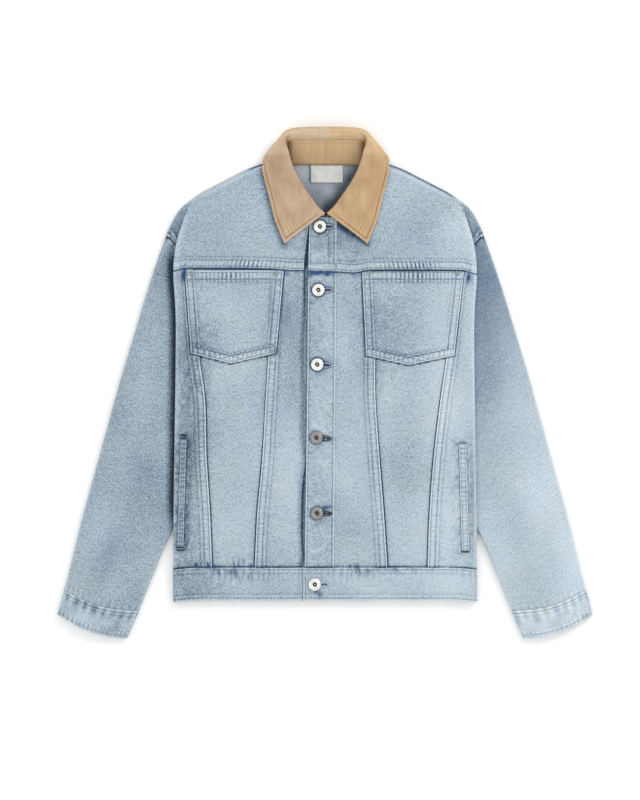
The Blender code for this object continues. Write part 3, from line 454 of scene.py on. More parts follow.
def makeMetal(name, look):
    # Cast zinc alloy, plated and tumbled: bright with a soft haze of fine scratches.
    material, tree, shader = startMaterial(name, {"Metallic": 1.0})
    where = addNode(tree, "ShaderNodeTexCoord").outputs["Object"]
    spots = noiseFrom(tree, where, 3.125, 4.0, Roughness=0.7)
    rough = addNode(tree, "ShaderNodeMapRange",
                    {"To Min": look["rough"] - 0.08, "To Max": look["rough"] + 0.12}, {"Value": spots})
    tree.links.new(rough.outputs[0], shader.inputs["Roughness"])
    colour = rampFrom(tree, spots, [(0.3, look["deep"]), (0.62, look["bright"])])
    finishShader(tree, shader, colour, spots, 0.15, 0.0001)
    return material


brightMetal = makeMetal("Zinc alloy, nickel plated and tumbled",
                        {"bright": "#f4f4f2", "deep": "#d6d6d2", "rough": 0.34})
studMetal = makeMetal("Zinc alloy, dulled by the wash",
                      {"bright": "#b3b5b4", "deep": "#838886", "rough": 0.6})
# its recess is darkened partly by real blackening and partly as painted shade
recessMetal = makeMetal("Zinc alloy, blackened, with painted shade in the recess",
                        {"bright": "#5d5f5e", "deep": "#343736", "rough": 0.5})
darkMetal = makeMetal("Zinc alloy, antique plated and brushed",
                      {"bright": "#a8a5a3", "deep": "#757270", "rough": 0.42})
print("finishes made")


def stops(length, step, dense=(0, 0.35, 0.8, 1.3, 1.9, 2.6), both=True):
    # places from 0 to 1 along a length, a step apart and closer at the edges
    ends = [d for d in dense if d < length / 2]
    count = max(int(round((length - 2 * ends[-1]) / step)), 1)
    middle = np.linspace(ends[-1], length - ends[-1], count + 1)
    places = list(ends[:-1]) + list(middle) + [length - d for d in reversed(ends[:-1])]
    if not both:
        places = list(np.linspace(0, length, max(int(round(length / step)), 1) + 1))
    return np.array(places) / length


def finishObject(name, mesh, material):
    made = bpy.data.objects.new(name, mesh)
    bpy.context.scene.collection.objects.link(made)
    for one in material if isinstance(material, list) else [material]:
        mesh.materials.append(one)
    mesh.shade_smooth()
    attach(made, "root")
    return made


def makeCloth(name, u, v, place, material, grainTurn=0.0, closed=False, wall=0, keep=None, grain=None,
              upAt=None):
    # place(u, v) gives x, y, z, the tone of wash with painted light and shade, blue
    # and the wrong side's tone if that differs, over a grid
    # the outer side faces up at its highest face
    gridU, gridV = np.meshgrid(np.asarray(u, float), np.asarray(v, float), indexing="ij")
    given = [np.broadcast_to(np.asarray(a, float), gridU.shape) for a in place(gridU, gridV)]
    x, y, z, washAndShade, blue = given[:5]
    rows = gridU.shape[1]
    wide = gridU.shape[0] if closed else gridU.shape[0] - 1
    a = np.arange(wide)[:, None] * rows + np.arange(rows - 1)[None, :]
    b = ((np.arange(wide)[:, None] + 1) % gridU.shape[0]) * rows + np.arange(rows - 1)[None, :]
    if keep is not None:
        chosen = keep(gridU[:wide, :-1], gridV[:wide, :-1])
        a, b = a[chosen], b[chosen]
    faces = np.stack([a, b, b + 1, a + 1], axis=-1).reshape(-1, 4)
    points = np.stack([x, y, z], axis=-1).reshape(-1, 3) * mm
    centres = points[faces].mean(axis=1)
    if upAt is None:
        top = int(np.argmax(centres[:, 2]))
    else:
        top = int(np.argmin(((centres - np.array(upAt) * mm) ** 2).sum(axis=1)))
    corners = points[faces[top]]
    if np.cross(corners[2] - corners[0], corners[3] - corners[1])[2] < 0:
        faces = faces[:, ::-1]
    mesh = bpy.data.meshes.new(name)
    mesh.from_pydata(points.tolist(), [], faces.tolist())
    if grain is None:
        c, s = math.cos(grainTurn), math.sin(grainTurn)
        across, along = (x * c + y * s), (y * c - x * s)
    else:
        across, along = (np.broadcast_to(g, gridU.shape) for g in grain(gridU, gridV))
    flat = np.stack([across, along], axis=-1).reshape(-1, 2) * mm
    layer = mesh.uv_layers.new(name="grain")
    order = np.zeros(len(mesh.loops), int)
    mesh.loops.foreach_get("vertex_index", order)
    layer.data.foreach_set("uv", flat[order].astype(np.float32).reshape(-1))
    for label, values in (("washAndShade", washAndShade), ("blue", blue), ("inner", given[-1] if len(given) > 5 else washAndShade)):
        attribute = mesh.attributes.new(label, "FLOAT", "POINT")
        attribute.data.foreach_set("value", np.ascontiguousarray(values, dtype=np.float32).reshape(-1))
    made = finishObject(name, mesh, material)
    if wall:
        solid = made.modifiers.new("Cloth wall", "SOLIDIFY")
        solid.thickness = wall * mm
        solid.offset = -1
        solid.use_even_offset = False
        if isinstance(material, list) and len(material) > 1:
            solid.material_offset = 1
    return made


threadUse = {"pitch": 3.3, "length": 2.7, "thick": 0.42, "lift": 0.16}
sewnRows = {"blue": [], "tan": [], "green": [], "navy": [], "hole": [], "holeDark": [], "slot": []}


def sew(rows, x, y, z, pitch=None):
    # keeps a stitch row: a path in millimetres that lies on the cloth
    path = np.stack(np.broadcast_arrays(x, y, z), axis=-1).astype(float)
    sewnRows[rows].append((path, pitch or threadUse["pitch"]))


def sewAlong(place, u, v, rows="blue"):
    # a stitch row along a piece's own grid
    x, y, z = place(u, v)[:3]
    sew(rows, x, y, z)


def stitchMesh(name, paths, material, use, sidesRound=5):
    # every stitch is a short bowed capsule; all of a thread's stitches are one mesh
    starts, ends = [], []
    for path, pitch in paths:
        steps = np.linalg.norm(np.diff(path, axis=0), axis=1)
        run = np.concatenate([[0], np.cumsum(steps)])
        centres = np.arange(pitch / 2, run[-1] - pitch / 2, pitch)
        reach = use["length"] / 2 * pitch / use["pitch"]
        for group, offset in ((starts, -reach), (ends, reach)):
            group.append(np.stack([np.interp(centres + offset, run, path[:, k]) for k in range(3)], axis=-1))
    starts, ends = np.concatenate(starts), np.concatenate(ends)
    middle = (starts + ends) / 2
    axis = ends - starts
    length = np.linalg.norm(axis, axis=1, keepdims=True)
    axis = axis / length
    side = np.cross(axis, np.array([0, 0, 1.0]))
    side = side / np.maximum(np.linalg.norm(side, axis=1, keepdims=True), 1e-6)
    up = np.cross(side, axis)
    rings = [(-0.5, 0, -0.5), (-0.36, 0.85, 0.15), (0, 1.0, 0.5), (0.36, 0.85, 0.15), (0.5, 0, -0.5)]
    points, ringStart = [], []
    for share, fat, rise in rings:
        ringStart.append(len(points))
        around = 1 if fat == 0 else sidesRound
        for k in range(around):
            turn = 2 * math.pi * k / sidesRound
            points.append(middle + axis * length * share + side * (use["thick"] * fat * math.cos(turn))
                          + up * (use["thick"] * (fat * math.sin(turn) + rise) + use["lift"]))
    triangles = []
    for k in range(sidesRound):
        n = (k + 1) % sidesRound
        triangles += [(0, ringStart[1] + n, ringStart[1] + k),
                      (ringStart[4], ringStart[3] + k, ringStart[3] + n)]
        for r in (1, 2):
            p, q = ringStart[r], ringStart[r + 1]
            triangles += [(p + k, p + n, q + n), (p + k, q + n, q + k)]
    count = len(middle)
    perStitch = len(points)
    allPoints = np.stack(points, axis=1).reshape(-1, 3) * mm
    steps = (np.arange(count) * perStitch)[:, None, None]
    allFaces = (np.array(triangles)[None, :, :] + steps).reshape(-1, 3)
    mesh = bpy.data.meshes.new(name)
    mesh.from_pydata(allPoints.tolist(), [], allFaces.tolist())
    print(name, count, "stitches")
    return finishObject(name, mesh, material)


collarMiddle = 2.2
collarTable = {  # from the front edge to the middle of the back
    "station": (0, 1, 2, 3, 4, 5, 6, 7, 8, 9, 10, 11, 12),
    "neckX": (1.5, 20, 40, 57, 70, 79, 84, 85.5, 80, 68, 52, 32, 0),
    "neckY": (259.9, 265, 277, 293, 309, 322, 331, 338, 341.8, 342.0, 341.2, 341.0, 341.0),
    "neckZ": (21.0, 20.6, 20.0, 18.6, 16.2, 13.6, 11.6, 8.6, 4.6, 2.8, 2.4, 2.4, 2.4),
    "seamX": (4.6, 15.5, 29, 38.6, 46.4, 52.4, 57, 60.4, 62.5, 58.5, 48, 30, 0),
    "seamY": (262.0, 273, 291.5, 305.8, 319.2, 332, 345, 357.5, 368, 375, 376.7, 376.7, 376.7),
    "seamZ": (23.2, 23.4, 23.8, 24.4, 25.2, 26, 26.6, 27, 27, 26.5, 26, 26, 26),
    "rollX": (4.2, 15.2, 28.8, 38.5, 46.3, 52.4, 57, 60.4, 63.6, 61.5, 52, 31, 0),
    "rollY": (262.2, 273, 291.6, 305.8, 319, 331.6, 344.6, 357.6, 370, 383, 389, 390.3, 390.5),
    "rollZ": (29.6, 30.2, 31, 32, 33.3, 34.4, 35.4, 36.4, 37, 37.6, 38, 38, 38),
    "sideX": (49, 57.5, 67, 75, 81.5, 87, 91, 97.2, 90, 76, 60, 33, 0),
    "sideY": (229, 242.5, 262, 286, 303.5, 321, 337, 349, 362, 377.5, 391.5, 395.2, 395.6),
    "sideZ": (26.2, 26.4, 26.2, 25, 23.6, 21, 18, 12.5, 12, 16, 25, 31, 31),
    "edgeX": (64.3, 70.8, 78.6, 85.6, 90.8, 95.6, 99, 93.5, 84, 72, 57, 33, 0),
    "edgeY": (216.9, 233, 252.5, 279.5, 299.5, 318.5, 335, 347.5, 354, 362, 367, 370, 370),
    "edgeZ": (24.9, 24.9, 24.6, 23, 20.4, 16.8, 13.6, 6.0, 3.4, 2.8, 2.8, 2.8, 2.8),
    "overhang": (3.2, 3.4, 3.4, 3.4, 3.4, 3.4, 3.4, 3.4, 3.0, 1.5, 0, 0, 0),
}


def toCollar(x, y, part):
    # how far a point is from the collar's front or side edge, seen from above
    half = np.abs(x - collarMiddle)
    line = list(zip(collarTable["edgeX"], collarTable["edgeY"]))[:8]
    if part == "front":
        line = [(3.0, 257.5), line[0]]
    nearest = 999.0
    for (ax, ay), (bx, by) in zip(line, line[1:]):
        length = (bx - ax) ** 2 + (by - ay) ** 2
        t = np.clip(((half - ax) * (bx - ax) + (y - ay) * (by - ay)) / length, 0, 1)
        nearest = np.minimum(nearest, np.hypot(half - mix(ax, bx, t), y - mix(ay, by, t)))
    return nearest


pocketLook = {"rise": 1.1, "topY": 176.0, "hemRows": (2.2, 13.4), "hemWidth": 16.0, "sideRows": (2.0, 11.3),
              "sideWidth": 12.6, "step": 1.25, "studIn": 11.0, "studDown": 4.6}
pocketShapes = {
    "right": {"innerTop": 63.1, "outerTop": 216.2, "innerLow": 74.7, "outerLow": 206.5, "pointOut": 145.1,
              "lowY": 48.2, "pointY": 32.7},
    "left": {"innerTop": 58.0, "outerTop": 215.5, "innerLow": 64.2, "outerLow": 200.4, "pointOut": 130.0,
             "lowY": 44.7, "pointY": 30.1},
}


def pocketDistances(shape, half, y):
    # how far in from its top, its two sides and its two lower edges
    up = (y - shape["lowY"]) / (pocketLook["topY"] - shape["lowY"])
    fromInner = half - mix(shape["innerLow"], shape["innerTop"], up)
    fromOuter = mix(shape["outerLow"], shape["outerTop"], up) - half
    drop = shape["lowY"] - shape["pointY"]
    innerRun, outerRun = shape["pointOut"] - shape["innerLow"], shape["outerLow"] - shape["pointOut"]
    lowInner = (y - shape["lowY"]) * innerRun + (half - shape["innerLow"]) * drop
    lowOuter = (y - shape["lowY"]) * outerRun + (shape["outerLow"] - half) * drop
    return (pocketLook["topY"] - y, fromInner, fromOuter, lowInner / math.hypot(innerRun, drop),
            lowOuter / math.hypot(outerRun, drop))


def pocketShade(side, x, y):
    # the painted shadow that a pocket's edge throws on the panels round it
    shape = pocketShapes[side]
    inner = np.minimum.reduce(pocketDistances(shape, np.abs(x), y)[1:])
    low = ease((pocketLook["topY"] + 1 - y) / 2)
    uneven = 0.75 + 0.35 * swells(x, y, 14, 14, 3)
    return 1.25 * hill(inner + 0.6, 1.1) * low * uneven


panelLook = {"rows": (3.0, 11.5), "bandWidth": 15.0, "rise": 0.75, "step": 1.7, "stepAlong": 1.5, "tuck": 4.0,
             "long": 468}


def placketSide(side, y):
    if side == "left":
        return follow(placketLines, "seam", y) - 3.0
    lap = 4.6 * hill(y + 117, 30) + 2.0 * hill(y + 20, 40) + 2.5 * hill(y + 262, 16)
    return follow(placketLines, "edge", y) - 6.6 + lap


def seamX(table, side, y):
    return sides[side] * follow(table, side, y)


def centreTop(side, x, y):
    d = np.abs(seamX(innerSeam, side, y) - x) * 0.998
    rise, washAndShade = stitchedBand(d, panelLook["rows"], panelLook["bandWidth"], panelLook["rise"], along=y)
    wave = puckers(y, d - 7, 6, 8.2, 1 if side == "left" else 2)
    z = clothHeight(x, y) - body["panelDrop"] + rise + 0.14 * wave
    tone, blue = frontTone(x, y)
    if side == "right":  # the panel dips under the placket's edge, with painted shade beside it
        toPlacket = placketSide(side, y) - x
        z = z - 1.0 * (1 - ease(toPlacket / 7))
        tone = tone - 0.65 * (1 - ease(toPlacket / mix(9, 4, ease((y - 60) / 70))))
    shade = pocketShade(side, x, y)
    return z, tone + 0.8 * washAndShade + 0.25 * wave - 2.0 * shade, blue + 0.45 * shade


def middleTop(side, x, y):
    toInner = np.abs(x) - follow(innerSeam, side, y)
    toOuter = follow(outerSeam, side, y) - np.abs(x)
    near = np.minimum(toInner, toOuter)
    # the seam's crease is deepest low down, and nearly gone high up on the inner seam
    crease = (0.95 + 0.3 * swells(toInner > toOuter, y, 1, 70, 6)) * np.where(
        toInner > toOuter, 0.8 + 0.3 * ease((20 - y) / 60), 0.45 + 0.7 * ease((-50 - y) / 90))
    z = clothHeight(x, y) - body["middleDrop"] - 0.6 * crease * hill(near - 0.4, 1.8)
    tone, blue = frontTone(x, y)
    shade = pocketShade(side, x, y)
    # the dark line at the seam is painted shade in its crease, with some retained indigo
    tone = tone - 2.3 * crease * hill(near - 0.5, 0.95) - 0.25 * hill(near, 6) + 0.1 - 2.0 * shade
    return z, tone, blue + 0.5 * crease * hill(near - 0.6, 1.0) + 0.45 * shade


def sideTop(side, x, y):
    d = np.abs(x - seamX(outerSeam, side, y))
    rise, washAndShade = stitchedBand(d, panelLook["rows"], panelLook["bandWidth"], panelLook["rise"], along=y)
    wave = puckers(y, d - 7, 6, 8.2, 3 if side == "left" else 4)
    z = clothHeight(x, y) - body["panelDrop"] + rise + 0.14 * wave
    tone, blue = frontTone(x, y)
    shade = pocketShade(side, x, y)
    welt = weltRows[side]
    share = np.clip((y - welt["lowY"]) / (welt["topY"] - welt["lowY"]), 0, 1)
    off = np.abs(x) - mix(welt["lowOut"], welt["topOut"], share)
    inReach = ease((y - welt["lowY"] + 12) / 12) * ease((welt["topY"] + 12 - y) / 12)
    onWelt = ease((y - welt["lowY"] + 1) / 2) * ease((welt["topY"] + 1 - y) / 2)
    ragged = swells(x, y, 3.2, 5.0, 8)
    tone = (tone - (0.32 + 0.45 * ragged) * (1.0 if side == "right" else 0.6) * inReach
            * (hill(off - welt["width"], 5) + hill(off + welt["width"], 6)))
    dark = (0.95 if side == "right" else 0.55) * np.where(off < 0, 1.0, 0.55)
    tone = tone - dark * onWelt * hill(np.abs(off) - welt["width"] / 2 - 0.7, 0.9)
    blue = (blue + (0.05 if side == "right" else 0.3) * onWelt
            * hill(np.abs(off) - welt["width"] / 2 - 0.8, 1.1))
    blue = blue + 0.35 * inReach * np.clip(ragged, 0, 1) * hill(np.abs(off) - welt["width"] / 2 - 4, 3)
    tone = tone - barShade(side, off, y)
    z = (z + 0.35 * inReach * (hill(off - welt["width"] - 2, 4) + hill(off + welt["width"] + 2, 4))
         * (0.6 + ragged))
    return z, tone + 0.8 * washAndShade + 0.25 * wave - 2.0 * shade, blue + 0.45 * shade


def barShade(side, off, y):
    # the cloth is dark under the bars that close a welt's ends
    welt = weltRows[side]
    if side == "right":
        places = (welt["topY"] + 3.0, welt["topY"] - 1.4, welt["lowY"] + 2.9, welt["lowY"] - 1.4)
    else:
        places = (welt["topY"] + 0.5, welt["lowY"] + 1.0)
    within = ease((welt["width"] * 0.64 - np.abs(off)) / 1.5)
    return (1.9 if side == "right" else 0.7) * within * sum(hill(y - place, 1.1) for place in places)


weltRows = {
    "right": {"topOut": 217.8, "topY": -81.4, "lowOut": 223.2, "lowY": -255.0, "width": 9.0},
    "left": {"topOut": 213.1, "topY": -90.7, "lowOut": 218.4, "lowY": -259.6, "width": 11.0},
}
turnUnder = {"inboard": (-8.0, -2.0, 1.6, 4.6, 14.0), "z": (11.0, 10.3, 6.2, 2.6, 1.9)}
sleeveEdges = {
    "along": (0.00, 0.14, 0.27, 0.40, 0.54, 0.67, 0.80, 0.94, 1.00),
    "outerX": (246.5, 272.5, 295.5, 318.0, 338.5, 359.0, 379.5, 397.5, 405.0),
    "outerY": (230.0, 155.8, 81.4, 7.0, -67.4, -141.8, -216.2, -290.6, -319.0),
    "innerX": (150.0, 170.4, 189.0, 207.0, 226.5, 245.5, 263.5, 281.3, 288.7),
    "innerY": (-24.0, -72.0, -116.5, -161.0, -206.5, -243.0, -287.0, -331.5, -350.7),
}


def armholeWave(share):
    return np.maximum(np.sin(np.pi * share), 0) ** 0.4 * (1 - share ** 3)


def armhole(share):
    outX, outY = sleeveEdges["outerX"][0], sleeveEdges["outerY"][0]
    downX, downY = sleeveEdges["innerX"][0] - outX, sleeveEdges["innerY"][0] - outY
    length = math.hypot(downX, downY)
    bulge = 24.0 * armholeWave(share)
    return outX + downX * share + downY / length * bulge, outY + downY * share - downX / length * bulge


def hiddenHalf(y):
    # how far out the armhole seam, or below it the sleeve's inner fold, lies
    share = np.linspace(0, 1, 400)
    x, seamY = armhole(share)
    above = np.interp(y, seamY[::-1], x[::-1]) - 3.5
    order = np.argsort(sleeveEdges["innerY"])
    below = follow({"y": np.array(sleeveEdges["innerY"])[order],
                    "half": np.array(sleeveEdges["innerX"])[order]},
                   "half", y)
    return np.where(y > sleeveEdges["innerY"][0], above, below)


def frontRowY(x, share):
    return mix(waistLine(x) - panelLook["tuck"], follow(yokeEdge, "y", x) + panelLook["tuck"], share)


def buildCentre(side):
    sign = sides[side]

    def place(u, v):
        y = mix(body["waistSeamY"], 177, v)
        x = mix(placketSide(side, y), sign * (follow(innerSeam, side, y) - 0.15), u)
        y = frontRowY(x, v)
        z, washAndShade, blue = centreTop(side, x, y)
        return x, y, z, washAndShade, blue

    piece = makeCloth("frontCentre." + side, stops(62, panelLook["step"]),
                      stops(panelLook["long"], panelLook["stepAlong"], both=False), place, washedDenim)
    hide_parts("front_centre_" + side)
    y = np.linspace(body["waistSeamY"] + 1, 176, 300)
    for row in panelLook["rows"]:
        x = sign * (follow(innerSeam, side, y) - row)
        sew("blue", x, y, centreTop(side, x, y)[0])


def buildMiddle(side):
    sign = sides[side]

    def place(u, v):
        y = mix(body["waistSeamY"], 177, v)
        low, high = follow(innerSeam, side, y) - 3.0, follow(outerSeam, side, y) + 3.0
        x = sign * mix(low, high, u)
        y = frontRowY(x, v)
        z, washAndShade, blue = middleTop(side, x, y)
        return x, y, z, washAndShade, blue

    piece = makeCloth("frontMiddle." + side,
                      stops(92, 2.6, (0, 1.0, 2.0, 2.6, 3.1, 3.6, 4.1, 4.7, 5.4, 6.4, 8.0)),
                      stops(panelLook["long"], 2.6, both=False), place, washedDenim)
    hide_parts("front_middle_" + side)


def buildSide(side):
    sign = sides[side]
    flats, arcs, under = 34, 9, 14

    def place(u, v):
        y = mix(body["waistSeamY"], 176.7, v)
        fold = bodyHalf(y)
        seam = follow(outerSeam, side, y) + 0.15 - sign * body["middle"]
        closing = ease((-214 - y) / 32)
        across = mix(body["foldRadius"], body["closedFoldRadius"], closing)
        top = frontHeight(body["middle"] + sign * (fold - body["foldRadius"]), y) - body["panelDrop"]
        low = mix(11.0, body["onBack"], closing)
        column = np.round(u)
        first = column < flats
        near = np.clip(column / flats, 0, 1)
        dense = np.where(near < 0.4, near * 0.75, mix(0.3, 1, (near - 0.4) / 0.6))
        half = mix(seam, fold - across, dense)
        z = np.zeros_like(half)
        turn = np.pi * np.clip((column - flats) / arcs, 0, 1)
        half = np.where(first, half, fold - across + across * np.sin(turn))
        zArc = mix(low, top, (1 + np.cos(turn)) / 2)
        rowAt = np.clip((column - flats - arcs) / under * 5, 0, 5)
        inboard = np.interp(rowAt, [1, 2, 3, 4, 5], turnUnder["inboard"])
        lifted = ease(y / 30)
        zUnder = np.interp(rowAt, [1, 2, 3, 4, 5], turnUnder["z"])
        hidden = np.minimum(hiddenHalf(y) - inboard, fold - across - 0.6 * np.maximum(rowAt, 1))
        closed = fold - across - 3.0 - (inboard + 8.0) * 0.7
        halfUnder = mix(hidden, closed, closing)
        zUnder = mix(mix(zUnder, 11.0, lifted), body["onBack"], closing)
        start = np.clip(rowAt, 0, 1)
        halfUnder = mix(fold - across, halfUnder, start)
        zUnder = mix(low, zUnder, start)
        past = column > flats + arcs
        half, z = np.where(past, halfUnder, half), np.where(past, zUnder, zArc)
        x = body["middle"] + sign * half
        y = frontRowY(np.clip(x, -236, 236), v)
        topZ, washAndShade, blue = sideTop(side, x, y)
        foldTop = ease((column - flats + 6) / 6)
        z = np.where(first, mix(topZ, np.minimum(topZ, top + 0.35), foldTop * 0.6), z)
        edgeWash = 0.45 * hill(fold - half, 4) * (column <= flats + arcs)
        return x, y, z, np.where(past, -0.2, washAndShade + edgeWash), np.where(past, 0.1, blue)

    piece = makeCloth("frontSide." + side, np.arange(flats + arcs + under + 1),
                      stops(panelLook["long"], panelLook["stepAlong"], both=False), place, washedDenim)
    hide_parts("front_side_" + side)
    y = np.linspace(body["waistSeamY"] - 0.5, 175, 300)
    for row in panelLook["rows"]:
        x = sign * (follow(outerSeam, side, y) + row)
        sew("blue", x, y, sideTop(side, x, y)[0])


yokeLook = {"rows": (2.6, 12.4), "bandWidth": 14.5, "rise": 0.7, "step": 1.7,
            "lap": {"right": 5.0, "left": 3.9}}
yokeColumns = {
    "low": (34, 52, 70, 88, 102, 112, 121, 132, 152, 172, 192, 212),
    "half": (22.5, 42.5, 59.0, 72.0, 81.4, 86.6, 88.6, 95.4, 117.7, 143.1, 167.1, 190.3),
    "topY": (263.6, 275.6, 291.4, 307.6, 321.0, 330.4, 336.6, 337.4, 328.8, 316.2, 303.8, 291.3),
}


def yokeTop(x, y):
    edge = follow(yokeEdge, "y", x)
    d = y - edge
    rise, washAndShade = stitchedBand(d, yokeLook["rows"], yokeLook["bandWidth"], yokeLook["rise"], along=x)
    near = 0.35 + 0.75 * (hill(x + 138, 52) + hill(x - 135, 46))
    wave = puckers(x + 0.25 * d * np.sign(x), d - 7, 7.5, 6.4, 6) * near
    tone, _ = frontTone(x, y)
    blue = patches(x, y, bluePatches) + 0.55 * np.clip(-wave, 0, 1) * hill(d - 7, 5) * near
    # painted shadow of the collar on the cloth close to it, bluish: beside it on the right, below it on the
    # left
    beside, below = toCollar(x, y, "side"), toCollar(x, y, "front")
    ragged = 0.8 + 0.3 * swells(x, y, 4, 4, 5)
    shade = np.where(x < 0, 0.8 * hill(beside, 7), 0.15 * hill(beside, 4) + 1.2 * hill(below, 3.4) * ragged
                     + 0.45 * hill(below, 14) * ease((62 - x) / 30))
    blue = blue + np.where(x < 0, 0.0, 0.35 * hill(below, 5))
    return (clothHeight(x, y) + rise + 0.3 * wave,
            tone + 0.7 * washAndShade + 0.7 * wave - 2.6 * np.clip(-wave - 0.35, 0, 1) - shade, blue)


def buildYoke(side):
    sign = sides[side]
    arcs = 10
    flatCount = int(215 / yokeLook["step"])
    steps = len(yokeColumns["low"])
    runTurn, runOpen = (180.0, 45.0), 0.4

    def place(u, v):
        column = np.clip(u, 0, flatCount) / flatCount
        # the first column follows the placket, the last one the fold
        lowY = follow(yokeEdge, "y", sign * mix(20, 233, column))
        foldY = mix(lowY, 271.0, v)
        foldHalf = bodyHalf(foldY) - body["foldRadius"]
        startY = mix(lowY, 261.0 if side == "left" else 267.0, v)
        startX = placketSide(side, startY) + (0.0 if side == "left" else -0.3)
        startHalf = sign * (startX - body["middle"])
        at = column * (steps + 1)
        keys = np.arange(1, steps + 1)
        low = np.interp(at, keys, yokeColumns["low"])
        half = np.interp(at, keys, yokeColumns["half"])
        topY = np.interp(at, keys, yokeColumns["topY"])
        inHalf, inY = mix(low, half, v), mix(lowY, topY, v)
        toStart, toFold = np.clip(1 - at, 0, 1), np.clip(at - steps, 0, 1)
        inHalf = mix(mix(inHalf, startHalf, toStart), foldHalf, toFold)
        inY = mix(mix(inY, startY, toStart), foldY, toFold)
        # its last rows lap over the back yoke's turned edge
        outX, outY = shoulderInset(inHalf, -1.0)
        lap = yokeLook["lap"][side] * ease((v - 0.93) / 0.07) * ease((at - 0.5) / 1.0) * (u <= flatCount)
        outX, outY = outX - inHalf, outY - shoulderY(inHalf)
        inHalf, inY = inHalf + outX * lap, inY + outY * lap
        x = body["middle"] + sign * inHalf
        z, washAndShade, blue = yokeTop(x, inY)
        z = z + 0.25 * (lap > 0) - (1.3 if side == "right" else 0.6) * ease((v - 0.965) / 0.035)
        washAndShade = washAndShade + 0.7 * hill((1 - v) * 90 - 1.5, 1.6) * (lap > 0) * (1 - ease((inHalf - 184) / 16))
        turned = np.clip((u - flatCount) / arcs, 0, 1)
        wholeTurn = mix(runTurn[0], runTurn[1], ease((v - runOpen) / (1 - runOpen)))
        turn = np.radians(wholeTurn) * turned
        radius = body["foldRadius"]
        top = frontHeight(body["middle"] + sign * foldHalf, foldY)
        settle = ease((u - flatCount + 9) / 9)
        z = np.where(u <= flatCount, mix(z, np.minimum(z, top + 0.5), settle),
                     top - radius * (1 - np.cos(turn)))
        half2 = foldHalf + radius * np.sin(turn)
        last = np.clip(u - flatCount - arcs, 0, 1)
        run = mix(36.0, 1.5, ease(v * 2)) * last
        half2 = half2 + run * np.cos(turn)
        z = z - np.minimum(run * np.sin(turn), 0.8)
        x = np.where(u > flatCount, body["middle"] + sign * half2, x)
        d = inY - lowY
        toFold = foldHalf - np.abs(x - body["middle"])
        washAndShade = washAndShade + 0.35 * hill(toFold, 5) * (1 - 0.8 * ease((v - 0.8) / 0.2))
        return x, inY, z, np.where(last > 0, -0.3, washAndShade), np.where(d < 0, 0, blue)

    u = np.concatenate([np.arange(flatCount + arcs + 1), [flatCount + arcs + 1.0]])
    tall = 118
    v = np.concatenate([[0, 0.3, 0.7, 1.2, 1.8], np.arange(2.6, 24, 1.2), np.arange(24, tall - 10, 2.4),
                        np.arange(tall - 9.6, tall, 1.2), [tall]]) / tall
    piece = makeCloth("frontYoke." + side, u, v, place, washedDenim)
    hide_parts("front_yoke_" + side)
    x = sign * np.linspace(21.5 if side == "left" else 31.5, 230, 260)
    for row in yokeLook["rows"]:
        y = follow(yokeEdge, "y", x) + row
        sew("blue", x, y, yokeTop(x, y)[0] - 0.6 * ease((np.abs(x) - 222) / 8))


def shoulderInset(half, inset):
    # a point inside the shoulder line, square to it
    before, after = half - 2, half + 2
    run, fall = after - before, shoulderY(after) - shoulderY(before)
    length = np.hypot(run, fall)
    return half + fall / length * inset, shoulderY(half) - run / length * inset


capLook = {"deep": 42.0, "rows": (2.6, 9.4)}


def buildShoulderCap(side):
    # the yoke's cloth past the fold, sewn down over the head of the sleeve
    sign = sides[side]
    outerX, outerY = shoulderInset(np.array([212.0, 222.0, 231.0, 238.5]), 5.2)
    seamX, seamY = armhole(np.array([0.012, 0.03, 0.05, 0.07, 0.095]))
    edgeX = np.concatenate([outerX, [mix(outerX[-1], seamX[0], 0.5), seamX[0] + 1.2]])
    edgeY = np.concatenate([outerY, [mix(outerY[-1], seamY[0], 0.5), seamY[0] - 0.5]])
    places = np.linspace(0, 1, len(edgeX))

    def place(u, v):
        half, y = np.interp(v, places, edgeX), np.interp(v, places, edgeY)
        innerY = mix(y - 7, seamY[-1] - 3.0, ease(v))
        inner = np.minimum(bodyHalf(innerY) - body["foldRadius"] - 6.0, seamX[-1] - 1)
        x, y = mix(half, inner, u), mix(y, innerY, u)
        toSeam = (1 - v) * capLook["deep"]
        z = mix(8.3, 7.4, ease(u)) + 1.7 * ease(1 - toSeam / 16) * ease((u + 0.25) / 0.5)
        z = z + 0.35 * hill(toSeam - 5.5, 4) - 0.3 * hill(toSeam - 2.6, 0.9) - 0.3 * hill(toSeam - 9.4, 0.9)
        z = z - 1.3 * (1 - ease(toSeam / 1.6)) + 0.12 * swells(x, y, 9, 9, 2)
        # painted shade of the cloth past the fold: the cap darker overall, and more so inward and away from
        # its seam
        washAndShade = (-0.3 + 0.9 * hill(toSeam - 1.2, 1.1) - 1.2 * hill(toSeam - 3.4, 0.9)
                + 0.45 * hill(toSeam - 6.2, 1.6))
        washAndShade = (washAndShade - 0.9 * hill(toSeam - 9.4, 0.9) - 0.5 * hill(toSeam - 12, 1.6)
                - 0.5 * ease((u - 0.2) / 0.8) - (0.3 if side == "right" else 0.15) * ease((toSeam - 8) / 6))
        return body["middle"] + sign * x, y, z, washAndShade, 0.06 * np.ones_like(x)

    piece = makeCloth("shoulderCap." + side, np.linspace(0, 1, 22), np.linspace(0, 1, 40), place, washedDenim)
    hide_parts("shoulder_cap_" + side)
    share = np.linspace(0.02, 0.8, 30)
    for row in capLook["rows"]:
        sewAlong(place, share, 1 - row / capLook["deep"] + 0 * share)


